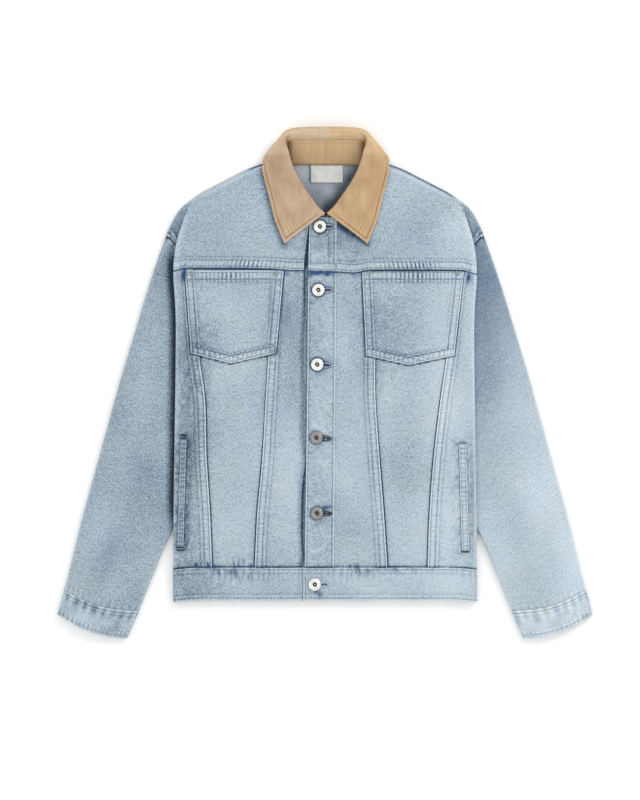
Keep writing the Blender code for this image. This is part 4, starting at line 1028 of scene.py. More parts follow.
def buildBackYoke():
    halves = np.concatenate([np.linspace(0, 84, 44), np.linspace(86, 236, 70), np.linspace(236.7, 246.8, 16)])
    neck = 84.0
    radius = body["shoulderTop"] / 2
    flats, turns, last = 12, 9, 2
    signed = np.concatenate([-halves[:0:-1], halves])

    def place(u, v):
        half0, sign = np.abs(u), np.where(u < 0, -1.0, 1.0)
        isNeck = half0 <= neck
        lineHalf = np.maximum(half0, 90)
        lowHalf = np.minimum(half0 * 0.98, bodyHalf(body["backYokeY"]) - 2)
        insetX, insetY = shoulderInset(lineHalf, radius)
        topX = np.where(isNeck, half0, insetX)
        topY = np.where(isNeck, np.interp(half0, [0, 68, 84], [340.6, 340.6, 340.0]), insetY)
        share = np.clip(v / flats, 0, 1)
        x, y, z = mix(lowHalf, topX, share), mix(body["backYokeY"], topY, share), np.zeros_like(u)
        turn = np.pi * np.clip((v - flats) / turns, 0, 1)
        inset = radius * (1 - np.sin(turn))
        pastTurn = (v - flats - turns) / last
        inset = np.where(pastTurn > 0, mix(radius, body["shoulderInset"], pastTurn), inset)
        overX, overY = shoulderInset(lineHalf, inset)
        over = v > flats
        x, y = np.where(over, overX, x), np.where(over, overY, y)
        z = np.where(over, radius * (1 - np.cos(turn)), z)
        # seen through the neck: paler beside the label, painted shade down in the front and under the collar,
        # and the label's painted shadow
        inX, inY = sign * x, y
        toLeaf = 55 - 0.71 * (340 - inY) - inX
        inside = (0.42 + 1.5 * hill((inX + 35) / 13, 1) * hill((inY - 328) / 16, 1)
                  - 1.9 * hill(toLeaf / 12, 1))
        inside = (inside - 0.8 * ease((296 - inY) / 26)
                  + 0.5 * hill((inX - 4) / 14, 1) * hill((inY - 302) / 9, 1))
        inside = (inside - 2.2 * hill(inX + 23.0, 2.6) * ease((inY - 313) / 3)
                  + 0.3 * swells(inX, inY, 9, 12, 4))
        strong = np.where(u > 0, 1.0, 1.3 * ease((130 - half0) / 26)) * ease((206 - half0) / 12)
        _, seamWash = stitchedBand(y - body["backYokeY"], yokeLook["rows"], yokeLook["bandWidth"], 0, along=x)
        behind = 0.1 + 0.6 * seamWash + 0.12 * swells(x * sign, y, 60, 60, 3)
        # past the front yoke's fold its rim darkens in painted shade towards the stitched seam of the sleeve
        toSeam = (246.8 - half0) * 1.7
        rim = (0.9 * hill(toSeam - 1.6, 1.0) - 1.2 * hill(toSeam - 3.6, 0.9) - 0.6 * hill(toSeam - 9.4, 0.9)
               - hill(toSeam, 0.7) - 0.65 * ease((half0 - 207) / 12))
        washAndShade = np.where(over, 0.25 - 1.9 * strong * hill(v - flats - 7.5, 0.8) + rim, behind)
        return body["middle"] + sign * x, y, z, washAndShade, 0.1 * over, inside

    def keep(u, v):
        covered = np.abs(u) - np.where(u < 0, 2.0, 0) >= neck + 4  # nearer columns fall together
        return (v < flats) | covered

    v = np.concatenate([np.linspace(0, 1.4, 14), np.linspace(1.6, flats, 38),
                        flats + np.arange(1, turns + last + 1)])
    piece = makeCloth("backYoke", signed, v, place, [washedDenim, insideDenim], wall=1.5, keep=keep)
    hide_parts("back_yoke")


def buildBackPanel():
    def place(u, v):
        y = mix(waistLine(0) + 0.3, body["backYokeY"] - 0.15, v)
        half = u * (bodyHalf(y) - 1.5)
        x = body["middle"] + half
        z = 1.6 + 0.12 * swells(x, y, 40, 60, 4) * ease((0.99 - np.abs(u)) / 0.1)
        return x, y, z, -0.1 + 0 * x, 0.05 + 0 * x

    piece = makeCloth("backPanel", np.linspace(-1, 1, 61), np.linspace(0, 1, 61), place,
                      [insideDenim, washedDenim], wall=1.5)
    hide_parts("back_panel")


sleeveLook = {
    "long": 590, "wide": 150,
    "crown": 22.0, "cuffCrown": 15.0, "hiddenTop": 10.6, "fold": 3.2, "cuffFold": 3.8, "bow": 8.0,
    "cuffOuter": (415.6, -356.3), "cuffInner": (307.6, -394.2),
    # creases by place along the sleeve and share across it from its outer fold
    "creases": {
        "left": [(0.05, 0.30, 0.42, 0.75, 0.06, -1.1), (0.10, 0.12, 0.55, 0.52, 0.07, 1.2),
                 (0.35, 0.85, 0.75, 0.55, 0.06, -1.0), (0.45, 0.20, 0.80, 0.38, 0.07, 1.0),
                 (0.62, 0.72, 0.97, 0.62, 0.05, -0.8), (0.70, 0.15, 0.99, 0.30, 0.05, -0.7),
                 (0.28, 0.40, 0.50, 0.28, 0.04, -0.6), (0.80, 0.50, 1.00, 0.48, 0.05, 0.6)],
        "right": [(0.04, 0.25, 0.38, 0.70, 0.06, -1.0), (0.12, 0.10, 0.60, 0.45, 0.07, 1.1),
                  (0.40, 0.88, 0.80, 0.60, 0.07, 1.0), (0.50, 0.25, 0.85, 0.35, 0.06, -0.9),
                  (0.66, 0.60, 0.98, 0.72, 0.05, -0.8), (0.74, 0.18, 0.99, 0.22, 0.05, 0.7),
                  (0.30, 0.50, 0.55, 0.35, 0.04, -0.6), (0.84, 0.42, 1.00, 0.46, 0.05, -0.5)],
    },
}


def tubeShares(count):
    even = np.linspace(0, 1, count)
    return mix(even, 0.5 - 0.5 * np.cos(np.pi * even), 0.62)


def tubePlace(outer, inner, share, isTop, bow, heights, fold):
    width = np.hypot(inner[0] - outer[0], inner[1] - outer[1])
    normal = ((inner[1] - outer[1]) / width, -(inner[0] - outer[0]) / width)
    x = mix(outer[0], inner[0], share) + normal[0] * bow
    y = mix(outer[1], inner[1], share) + normal[1] * bow
    under, crown = heights(x, y)
    edge = np.minimum(share, 1 - share) * width
    rounded = np.where(edge < fold, np.sqrt(np.maximum(fold ** 2 - (fold - edge) ** 2, 0)), fold)
    arch = (crown - under - 2 * fold) * np.sin(np.pi * np.clip(share, 0, 1)) ** 0.6
    z = np.where(isTop, under + fold + rounded + arch, under + fold - rounded)
    return x, y, z, edge


def buildSleeve(side):
    sign = sides[side]
    top, bottom = tubeShares(70), tubeShares(34)[1:-1][::-1]
    around = np.concatenate([top, 2 - bottom])
    rows = sleeveLook["creases"][side]
    long, wide = sleeveLook["long"], sleeveLook["wide"]

    def place(u, v):
        isTop = u <= 1
        share = np.where(isTop, u, 2 - u)
        outer = (follow(sleeveEdges, "outerX", v), follow(sleeveEdges, "outerY", v))
        inner = (follow(sleeveEdges, "innerX", v), follow(sleeveEdges, "innerY", v))
        fade = np.maximum(1 - v / 0.25, 0) ** 2
        cuffShare = ease((v - 0.7) / 0.3)
        bow = 24.0 * fade * armholeWave(share) - sleeveLook["bow"] * cuffShare * np.sin(np.pi * share)

        def heights(x, y):
            outside = x - bodyHalf(y)
            under = body["onBack"] * (1 - ease((outside - 20) / 45))
            crown = mix(sleeveLook["crown"], sleeveLook["cuffCrown"], ease((v - 0.5) / 0.5))
            return under, mix(sleeveLook["hiddenTop"], crown, ease((outside - 8) / 70))

        x, y, z, edge = tubePlace(outer, inner, share, isTop, bow, heights, sleeveLook["fold"])
        calm = ease(edge / 22) * ease((x - bodyHalf(y) - 2) / 26) * ease((1 - v) / 0.04)
        form = creaseLines(v * 4, share, [(a * 4, b, c * 4, d, w * 1.6, h) for a, b, c, d, w, h in rows])
        form = (form + 0.5 * swells(v * long, share * wide, 60, 34, 2)
                + 0.22 * swells(v * long, share * wide, 24, 11, 7))
        seamWave = puckers(share * 140, (1 - v) * long - 3, 13, 11, 5 if side == "left" else 6)
        z = np.where(isTop, z + form * calm * 0.9 + 0.22 * seamWave * ease(edge / 10), z)
        outside = x - bodyHalf(y)
        # darker near the shoulder; the wearer's right sleeve is painted darker than the left as shade away
        # from the lamp
        if side == "left":
            tone = (mix(-0.48, 0.32, ease(v / 0.68)) + 0.25 * hill(share - 0.12, 0.16) * v
                    - 0.22 * hill(share - 0.62, 0.2) * v)
        else:
            tone = mix(-0.5, -0.26, ease(v / 0.5)) - 0.14 * hill(v - 0.5, 0.16)
            # the sleeve sinks in beside the body, under the body's painted shadow
            shadowReach = (1 - ease((v - 0.5) / 0.16)) * ease(v / 0.06)
            tone = tone - (1.05 * (1 - ease((outside - 3) / 13)) + 0.7 * hill(outside, 4.5)) * shadowReach
            tone = tone + 0.12 * hill(share - 0.2, 0.2)
        tone = tone + 0.16 * swells(v * long, share * wide, 80, 40, 9) + 0.3 * hill(edge - 1, 2.5)
        # dark under the armhole seam, then drawn into short waves
        washAndShade = tone + 0.35 * seamWave + 0.5 * hill((1 - v) * long - 1, 1.5) - 2.0 * hill(v * long - 1.5, 2.6)
        washAndShade = washAndShade + 0.5 * puckers(share * 160, v * long - 7, 6, 8, 3)
        # fine crinkles across the sleeve
        crinkle = np.sin(2 * np.pi * (v * long + 3.5 * swells(share * wide, v * long, 17, 13, 6)) / 6.0)
        fine = (0.2 if side == "left" else 0.08) * hill(v - 0.6, 0.4)
        washAndShade = washAndShade + fine * crinkle * (0.7 + 0.5 * swells(share * wide, v * long, 34, 34, 8))
        blue = (0.25 * hill(v - 0.82, 0.06) * hill(share - 0.45, 0.12) if side == "right"
                else 0.33 * hill(v - 0.08, 0.25))
        return body["middle"] + sign * x, y, z, np.where(isTop, washAndShade, -0.15), np.where(isTop, blue, 0.0)

    piece = makeCloth("sleeve." + side, around, stops(592, 2.6, both=False), place, washedDenim,
                      grainTurn=sign * math.radians(16), closed=True)
    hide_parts("sleeve_" + side)
    share = tubeShares(70)[2:-2]
    sewAlong(place, share, 1 - 2.4 / sleeveLook["long"] + 0 * share)


cuffLook = {"deep": 42, "row": 4.2, "wide": 115, "bandWidth": 7}


def buildCuff(side):
    sign = sides[side]
    top, bottom = tubeShares(80), tubeShares(36)[1:-1][::-1]
    around = np.concatenate([top, 2 - bottom])
    start = ((405.0, -319.0), (288.7, -350.7))
    end = (sleeveLook["cuffOuter"], sleeveLook["cuffInner"])

    def place(u, v):
        isTop = u <= 1
        share = np.where(isTop, u, 2 - u)
        outer = (mix(start[0][0], end[0][0], v), mix(start[0][1], end[0][1], v))
        inner = (mix(start[1][0], end[1][0], v), mix(start[1][1], end[1][1], v))
        bow = -sleeveLook["bow"] * np.sin(np.pi * share)
        x, y, z, edge = tubePlace(outer, inner, share, isTop, bow,
                                  lambda x, y: (0.0, sleeveLook["cuffCrown"]), sleeveLook["cuffFold"])
        d, fromEnd, along = v * cuffLook["deep"], (1 - v) * cuffLook["deep"], share * cuffLook["wide"]
        rise, washAndShade = stitchedBand(d, (cuffLook["row"],), cuffLook["bandWidth"], 0.5, along=along)
        washAndShade = washAndShade - 2.6 * hill(d, 0.7)
        riseEnd, washEnd = stitchedBand(fromEnd, (cuffLook["row"],), cuffLook["bandWidth"], 0.25, 1.6,
                                        along=along + 40)
        seed = 7 if side == "left" else 8
        wave = (puckers(along, d - 5, 13, 12.5, seed)
                + 0.8 * puckers(along, fromEnd - 5, 6, 6.5, seed + 1))
        calm = ease(edge / 9)
        lift = rise + riseEnd + 0.42 * wave + 0.3 * swells(along, d, 16, 14, seed)
        z = np.where(isTop, z + lift * calm, z)
        # the wearer's right cuff is painted darker than the left one, as shade away from the lamp
        tone = (0.5 if side == "left" else -0.02) + 0.25 * swells(along, d, 13, 12, seed + 2)
        blue = 0.3 * np.clip(swells(along, d, 14, 9, seed + 3) - 0.25, 0, 1)
        return (body["middle"] + sign * x, y, z,
                np.where(isTop, tone + 0.65 * washAndShade + 0.2 * washEnd + 0.75 * wave, 0.0),
                np.where(isTop, blue, 0.0))

    piece = makeCloth("cuff." + side, around, stops(cuffLook["deep"], 1.6), place, washedDenim,
                      grainTurn=sign * math.radians(16), closed=True, wall=2.2)
    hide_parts("cuff_" + side)
    share = tubeShares(80)[2:-2]
    for d in (cuffLook["row"], cuffLook["deep"] - cuffLook["row"]):
        sewAlong(place, share, d / cuffLook["deep"] + 0 * share)


buttonRows = [  # x, y and finish, from the collar down
    (-7.3, 244.1, brightMetal), (-9.6, 146.0, brightMetal), (-11.3, 30.8, brightMetal),
    (-12.6, -82.3, darkMetal), (-11.6, -199.2, darkMetal), (-15.0, -309.5, brightMetal),
]
holeLook = {"start": 8.6, "end": 23.6, "halfHigh": 3.5, "pitch": 1.15, "slope": 0.07}


def holeHalf(t):
    # half the height of a worked hole along it: round at the button and pointed at its far end
    return holeLook["halfHigh"] * np.clip(1.05 - t ** 2.2, 0.02, 1) * (0.75 + 0.25 * np.sin(np.pi * t))


def buttonMarks(x, y):
    # painted shadow round each button, with some retained indigo,
    # and painted shade in its worked hole's slot and beside the hole
    tone, blue = 0, 0
    for number, (atX, atY, _) in enumerate(buttonRows, start=1):
        dx = x - atX
        dy = y - atY + dx * math.tan(holeLook["slope"] if number in (3, 4) else 0.017)
        far = np.hypot(dx, y - atY)
        dark = 0.6 if number in (4, 5) else 1.0
        tone = tone - 1.2 * dark * hill(far - 10.5, 1.2)
        blue = blue + 0.55 * dark * hill(far - 10.8, 1.7) * (0.6 + 0.5 * swells(x, y, 6, 6, number))
        t = np.clip((dx - holeLook["start"]) / (holeLook["end"] - holeLook["start"]), 0, 1)
        within = ease((dx - 8.6) / 1.5) * ease((24.5 - dx) / 1.5)
        beside = hill(np.abs(dy) - holeHalf(t) - 1.5, 0.9)
        tone = tone - within * (2.4 * hill(dy, 1.2) * ease((22 - dx) / 2) + 1.0 * beside)
        blue = blue + within * dark * 0.4 * beside
    return tone, blue


placketLook = {"leftRow": 2.6, "rightRows": (1.8, 11.0), "step": 1.25, "long": 543}


def placketTop(x, y):
    edge, seam = follow(placketLines, "edge", y), follow(placketLines, "seam", y)
    fromEdge, fromSeam = x - edge, seam - x
    rise, washAndShade = stitchedBand(fromEdge, (placketLook["leftRow"],), 40, 0.0, 1.5, along=y)
    ridge = 0.35 * hill(fromSeam - 0.4, 1.5) - 1.4 * (1 - ease((fromSeam + 2.2) / 1.8))
    washAndShade = (washAndShade + 1.3 * hill(fromSeam - 0.1, 1.1)
            - (0.7 + 0.4 * tickMarks(y, 4.4, 2)) * hill(fromSeam - 2.6, 1.1))
    # the inner row shows only above the yoke's seam
    innerRow = hill(fromSeam - placketLook["rightRows"][1], 1.0) * ease((y - 176) / 4)
    ridge = ridge - 0.2 * innerRow
    washAndShade = washAndShade - 0.5 * innerRow
    # the yoke's folded edge runs on across the placket
    over = y - follow(yokeEdge, "y", x)
    step = 0.75 * ease(over / 1.6) * (1 - 0.35 * ease((over - 13) / 3))
    grooves = -0.3 * hill(over - 2.6, 0.95) - 0.3 * hill(over - 12.4, 0.95) * (over > 0)
    washAndShade = washAndShade + 1.0 * hill(over - 0.9, 1.1) + 0.3 * hill(over - 7.5, 3.5) - 0.4 * hill(over - 12.4, 0.9)
    # painted shadow below the yoke's folded edge
    washAndShade = washAndShade - 0.9 * hill(over + 1.2, 1.3)
    notch = hill(x - 17.6, 0.9) * ease((over + 1) / 2) * ease((13 - over) / 2)
    wave = puckers(y, fromEdge - 2, 5, 9.5, 3) + 0.7 * puckers(y, fromSeam - 2, 5, 8.5, 4)
    lines = creaseLines(x, y, placketCreases)
    tone, blue = frontTone(x, y)
    # bluish below the yoke's edge, in its painted shadow with retained indigo
    blue = patches(x, y, bluePatches) + 1.0 * hill(over + 1.0, 1.2) * (over < 0.4)
    z = (clothHeight(x, y) + body["placketRise"] + rise + ridge + step + grooves - 0.6 * notch + 0.12 * wave
         + lines)
    # painted shade round the buttons and in their holes
    buttonShade, buttonBlue = buttonMarks(x, y)
    # uneven grazes of the wash lie along the pulls between the buttons
    graze = 0.16 * swells(x + 0.5 * y, y - 0.5 * x, 3.2, 11, 8)
    return (z, tone + 0.7 * washAndShade + 0.22 * wave + 0.7 * lines - 1.2 * notch + buttonShade + graze,
            blue + buttonBlue)


placketCreases = [  # soft diagonal pulls between the buttons
    (-22, 170, 0, 158, 2.2, 0.5), (-6, 171, 12, 160, 2.0, 0.45), (-24, 122, -4, 140, 3.0, -0.45),
    (-20, 52, 6, 40, 3.0, 0.4), (-24, 8, 2, 24, 3.0, -0.4), (-22, -60, 4, -76, 3.2, 0.45),
    (-24, -108, 0, -92, 3.0, -0.4), (-20, -176, 8, -192, 3.0, 0.5), (-22, -222, 4, -208, 3.2, -0.45),
    (-26, -262, 6, -250, 3.5, 0.4), (-20, 226, 2, 236, 2.6, -0.4), (-22, 196, 8, 206, 3.4, 0.4),
]


def buildPlackets():
    def over(u, v):
        y = mix(body["waistSeamY"] + 0.4, body["placketTopY"], v)
        x = mix(follow(placketLines, "edge", y), follow(placketLines, "seam", y) + 1.6, u)
        z, washAndShade, blue = placketTop(x, y)
        z = z - 1.2 * (1 - ease((1 - v) * placketLook["long"] / 2.0))
        return x, y, z, washAndShade, blue

    piece = makeCloth("placketOver", stops(46, placketLook["step"]), stops(placketLook["long"], 1.5), over,
                      washedDenim, wall=2.0)
    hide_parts("placket_left")
    y = np.linspace(body["waistSeamY"] + 1.5, 257, 320)
    edge, seam = follow(placketLines, "edge", y), follow(placketLines, "seam", y)
    for x in (edge + placketLook["leftRow"], seam - placketLook["rightRows"][0]):
        sew("blue", x, y, placketTop(x, y)[0])
    y = np.linspace(body["waistSeamY"] + 470, 256, 60)
    x = follow(placketLines, "seam", y) - placketLook["rightRows"][1]
    sew("blue", x, y, placketTop(x, y)[0])
    x = np.linspace(-24, 16, 60)
    for row in yokeLook["rows"]:
        sew("blue", x, follow(yokeEdge, "y", x) + row, placketTop(x, follow(yokeEdge, "y", x) + row)[0])

    def under(u, v):
        y = mix(body["waistSeamY"] + 0.4, body["placketTopY"], v)
        x = mix(follow(placketLines, "edge", y) - 7.5, follow(placketLines, "seam", y) - 2.0, u)
        z = clothHeight(x, y) - body["underPlacketDrop"] - 0.6 + 0.1 * swells(x, y, 8, 20, 5)
        above = ease((y - 181) / 3)
        fromLap = x - placketSide("right", y)
        uneven = 0.22 * swells(x, y, 5, 34, 4)
        # the strip of it seen beside the placket's edge is painted shade, darkest above the yoke's seam and
        # bluish there by the panel's end
        deep = mix(mix(-1.5, -0.65, ease((140 - y) / 60) * ease((y + 150) / 60)), -2.6, above)
        pale = mix(-0.85, -1.3, above)
        washAndShade = mix(deep, pale, ease((fromLap - 0.4) / 5.0)) + uneven
        return x, y, z, washAndShade, mix(0.0, 0.35, above) * (1 - ease((fromLap - 2.5) / 3))

    piece = makeCloth("placketUnder", np.linspace(0, 1, 56), stops(placketLook["long"], 3.2, both=False),
                      under, washedDenim)
    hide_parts("placket_right")


bandLook = {"wall": 2.2, "tall": 51, "topRow": 2.8, "hemRow": 3.4, "endRow": 3.0,
            "endOver": -33.0, "endUnder": 15.0}


def bandPath():
    # the outer face of the waistband seen from the hem, as x and z, from one end to the other
    top = body["bandTop"]
    radius = top / 2
    under = top - 2.4 - 0.45
    fold = bodyHalf(body["hemY"]) - radius
    middle = body["middle"]
    turn = np.linspace(0, np.pi, 16)
    parts = [
        ([bandLook["endUnder"], -10, bandLook["endOver"] - 1.5], [under] * 3),
        ([bandLook["endOver"] - 8, middle - fold + 1], [top, top]),
        (middle - fold - radius * np.sin(turn), radius * (1 + np.cos(turn))),
        ([middle - 150, middle + 150], [0, 0]),
        (middle + fold + radius * np.sin(turn), radius * (1 - np.cos(turn))),
        ([middle + 190, 40, bandLook["endOver"]], [top] * 3),
    ]
    x = np.concatenate([np.array(p[0], float) for p in parts])
    z = np.concatenate([np.array(p[1], float) for p in parts])
    run = np.concatenate([[0], np.cumsum(np.hypot(np.diff(x), np.diff(z)))])
    return x, z, run


def buildWaistband():
    pathX, pathZ, run = bandPath()
    length = run[-1]
    fine = 1.9
    ends = np.array([0, 0.35, 0.8, 1.3, 1.9])
    places = np.unique(np.concatenate([ends, np.arange(2.5, length - 2.5, fine), run[5:-2], length - ends]))
    places = places[np.concatenate([[True], np.diff(places) > 0.2])]

    def place(u, v):
        x, z = np.interp(u, run, pathX), np.interp(u, run, pathZ)
        top, hem = waistLine(x) + 0.15, body["hemY"] - cornerDip(x)
        wavy = 0.5 * swells(x, 0 * x, 34, 34, 6) + 0.35 * puckers(x, 0 * x, 9, 12, 2)
        y = mix(top, hem + wavy * 0.8, v)
        d, fromHem = top - y, y - hem
        isTop = (z > body["bandTop"] - 0.05)
        height, washAndShade = stitchedBand(d, (bandLook["topRow"],), 6.5, 0.45, 1.2, along=x)
        hemHeight, hemWash = stitchedBand(fromHem, (bandLook["hemRow"],), 8, 0.1, 1.6, along=x)
        strong = 0.5 + 0.5 * hill(x + 145, 55) + 0.3 * hill(x - 60, 60)
        wave = strong * puckers(x, d - 6, 14, 8.6, 9) + 0.6 * puckers(x, fromHem - 5, 5, 6.0, 10)
        calm = np.where(isTop, 1.0, 0.0) * ease((bodyHalf(body["hemY"]) - 8 - np.abs(x - body["middle"])) / 8)
        fromEnd = np.where(isTop & (x < 60) & (u > length - 110), length - u, 60.0)
        endHeight, endWash = stitchedBand(fromEnd, (bandLook["endRow"],), 40, 0.0, 1.4)
        swell = 0.35 * swells(x, y, 30, 22, 3) + creaseLines(x, y, [
            (-200, -300, -160, -326, 5, 0.5), (-90, -298, -60, -328, 5, -0.5), (120, -300, 160, -326, 6, 0.5),
            (60, -330, 90, -300, 5, -0.4), (190, -326, 215, -300, 5, 0.4)])
        z = z + (height + hemHeight + endHeight + 0.28 * wave + swell + 0.3) * calm
        tone, _ = frontTone(x, y)
        blue = patches(x, y, bluePatches) + streaks(x, y, blueStreaks)
        blue = blue + 0.3 * np.clip(-wave - 0.3, 0, 1) * hill(d - 8, 8)
        tone = tone + 0.1 + 0.7 * (washAndShade + hemWash + np.where(fromEnd < 30, endWash, 0)) + 0.42 * wave
        isUnder = u < run[2]
        # painted shadow that the band's overlapping end throws on the band beside it
        beside = np.where(isTop & (u < 200), x - bandLook["endOver"] + 1.3, 60.0)
        tone = tone - 2.2 * hill(beside, 1.5) * (0.8 + 0.4 * swells(y, y, 6, 6, 2))
        return x, y, z, np.where(isUnder, -0.8, tone), np.where(isTop, blue, 0.05)

    piece = makeCloth("waistband", places, stops(bandLook["tall"], 1.7), place, washedDenim,
                      wall=bandLook["wall"])
    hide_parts("waistband")
    for d in (bandLook["topRow"], bandLook["tall"] - bandLook["hemRow"]):
        u = np.linspace(length - 255, length - 2.4, 160)
        for part in (u, np.linspace(run[3] + 3, run[3] + 190, 160)):
            sewAlong(place, part, d / bandLook["tall"] + 0 * part)
    v = np.linspace(0.06, 0.9, 40)
    sewAlong(place, length - bandLook["endRow"] + 0 * v, v)


for side in sides:
    buildCentre(side)
    buildMiddle(side)
    buildSide(side)
    buildYoke(side)
    buildShoulderCap(side)
    buildSleeve(side)
    buildCuff(side)
buildBackYoke()
buildBackPanel()
buildPlackets()
buildWaistband()
print("panels, sleeves and bands made")

def pocketTop(side, x, y):
    shape = pocketShapes[side]
    half = np.abs(x)
    fromTop, fromInner, fromOuter, lowInner, lowOuter = pocketDistances(shape, half, y)
    raised, dropped, groove, washAndShade = 0, 0, 0, 0
    sets = [(fromTop, pocketLook["hemRows"], pocketLook["hemWidth"])]
    sets += [(d, pocketLook["sideRows"], pocketLook["sideWidth"])
             for d in (fromInner, fromOuter, lowInner, lowOuter)]
    bright, dark = 0, 0
    for number, (d, rows, width) in enumerate(sets):
        along = half if number in (0, 3, 4) else y
        raised = np.maximum(raised, 1 - ease((d - width) / 3))
        dropped = np.maximum(dropped, 1 - ease(d / 1.5))
        bright = np.maximum(bright, hill(d - 1.1, 1.0))
        washAndShade = washAndShade - 0.35 * hill(d - width - 2.8, 1.5) + 0.35 * hill(d - width / 2, 3)
        washAndShade = washAndShade - 0.4 * np.clip(tickMarks(along, 5.6, number), 0, 1) * hill(d - width / 2, 2.6)
        for row in rows:
            groove = np.maximum(groove, hill(d - row, 0.9))
            dark = np.maximum(dark, (0.95 + 0.5 * tickMarks(along, 4.4, number + 3)) * hill(d - row, 0.95))
        if number > 0:
            washAndShade = washAndShade + 0.9 * hill(d - width - 0.5, 0.9)
    washAndShade = washAndShade + 2.0 * bright - 1.25 * dark
    seed = 1 if side == "right" else 2
    hemWave = puckers(half, fromTop - 8, 9, 6.2, seed + 10)
    hemWave = hemWave * (0.5 + 0.9 * hill(half - 0.5 * (shape["innerTop"] + shape["outerTop"]) + 8, 40))
    lowWave = puckers(half, np.minimum(lowInner, lowOuter) - 9, 8, 7.6, seed + 20)
    sideWave = puckers(y, np.minimum(fromInner, fromOuter) - 8, 7, 9.0, seed + 30)
    wave = 1.15 * hemWave + 1.1 * lowWave + 0.35 * sideWave
    z = clothHeight(x, y) + pocketLook["rise"] + 0.55 * raised - 0.95 * dropped - 0.3 * groove + 0.22 * wave
    tone, _ = frontTone(x, y)
    dashes = (np.clip(-hemWave, 0, 1) * hill(fromTop - 17.4, 1.9)
              + np.clip(lowWave, 0, 1) * hill(np.minimum(lowInner, lowOuter) - 13.5, 2.0))
    blue = patches(x, y, bluePatches) + 0.6 * dashes
    inner = np.minimum(np.minimum(fromInner, fromOuter), np.minimum(lowInner, lowOuter))
    blue = blue + 0.6 * hill(inner - pocketLook["sideRows"][1], 0.9) * (0.6 + 0.4 * swells(x, y, 12, 12, 4))
    dark = np.clip(-hemWave - 0.3, 0, 1) * hill(fromTop - 7.8, 4.5)
    return z, tone + 0.7 * washAndShade + 0.5 * wave - 2.2 * dashes - 2.4 * dark, blue


def buildPocket(side):
    shape, sign = pocketShapes[side], sides[side]
    edgeY = (("innerLow", "lowY"), ("pointOut", "pointY"), ("outerLow", "lowY"))

    def place(u, v):
        low = mix(shape["innerLow"], shape["outerLow"], u)
        half = mix(low, mix(shape["innerTop"], shape["outerTop"], u), v)
        bottom = np.interp(low, [shape[a] for a, _ in edgeY], [shape[b] for _, b in edgeY])
        high = np.minimum(pocketLook["topY"], follow(yokeEdge, "y", sign * half) - 2.4)
        y = mix(bottom, high, v)
        z, washAndShade, blue = pocketTop(side, sign * half, y)
        return sign * half, y, z, washAndShade, blue

    width, tall = shape["outerLow"] - shape["innerLow"], pocketLook["topY"] - shape["pointY"]
    piece = makeCloth("chestPocket." + side, stops(width, pocketLook["step"]),
                      stops(tall, pocketLook["step"]), place, washedDenim)
    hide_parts("chest_pocket_" + side)

    def sewLine(a, b, count=90):
        half, y = np.linspace(a[0], b[0], count), np.linspace(a[1], b[1], count)
        sew("blue", sign * half, y, pocketTop(side, sign * half, y)[0])

    for row in pocketLook["hemRows"]:
        y = pocketLook["topY"] - row - 0.6
        sewLine((shape["innerTop"] + 2, y), (shape["outerTop"] - 2, y))
    for row in pocketLook["sideRows"]:
        drop = shape["lowY"] - shape["pointY"]
        slant = row * (1 - drop / (shape["pointOut"] - shape["innerLow"]))
        topEnd = pocketLook["topY"] - 1.5
        low = (shape["innerLow"] + row, shape["lowY"] + slant)
        far = (shape["outerLow"] - row, shape["lowY"] + slant)
        point = (shape["pointOut"], shape["pointY"] + row * 1.03)
        sewLine((shape["innerTop"] + row, topEnd), low)
        sewLine((shape["outerTop"] - row, topEnd), far)
        sewLine(low, point)
        sewLine(point, far)


def buildWelt(side):
    welt, sign = weltRows[side], sides[side]
    length = math.hypot(welt["topY"] - welt["lowY"], welt["lowOut"] - welt["topOut"])

    def place(u, v):
        half = mix(welt["lowOut"], welt["topOut"], v) + (u - 0.5) * welt["width"]
        x, y = sign * half, mix(welt["lowY"], welt["topY"], v)
        d = np.minimum(u, 1 - u) * welt["width"]
        fromEnd = np.minimum(v, 1 - v) * length
        z = frontHeight(x, y) + 0.75 - 0.9 * (1 - ease(d / 1.5)) - 0.5 * (1 - ease(fromEnd / 2))
        z = z - 0.25 * hill(d - 2.0, 0.9) + 0.3 * swells(x, y, 6, 14, 6)
        wave = puckers(y, d, 8, 6.8, 14)
        tone, _ = frontTone(x, y)
        washAndShade = (tone + 0.5 * hill(d - 0.5, 0.9) - (0.2 + 0.3 * tickMarks(y, 4.4, 7)) * hill(d - 2.2, 0.9)
                + 0.4 * wave)
        washAndShade = washAndShade - barShade(side, half - mix(welt["lowOut"], welt["topOut"], v), y)
        return x, y, z + 0.14 * wave, washAndShade, 0.35 * np.clip(-wave, 0, 1) * hill(d - 3.5, 1.6)

    piece = makeCloth("pocketWelt." + side, stops(welt["width"], 1.2), stops(length, 1.8), place, washedDenim)
    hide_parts("pocket_welt_" + side)
    v = np.linspace(0.01, 0.99, 120)
    for u in (1.9 / welt["width"], 1 - 1.9 / welt["width"]):
        sewAlong(place, u + 0 * v, v)
    for end, y in (("top", welt["topY"] + 0.5), ("low", welt["lowY"] + 1.0)):
        for row in ((-2.9, -2.1, 1.5, 2.3) if side == "right" else (-1.0, -0.3, 0.4)):
            half = (np.linspace(-0.62, 0.62, 14) * welt["width"]
                    + (welt["topOut"] if end == "top" else welt["lowOut"]))
            x = sign * half
            z = frontHeight(x, y) + 0.75
            sewnRows["green" if side == "left" and end == "top" else "navy"].append(
                (np.stack([x, y + row + 0 * x, z + 0.1 + 0 * x], axis=-1), 2.0))


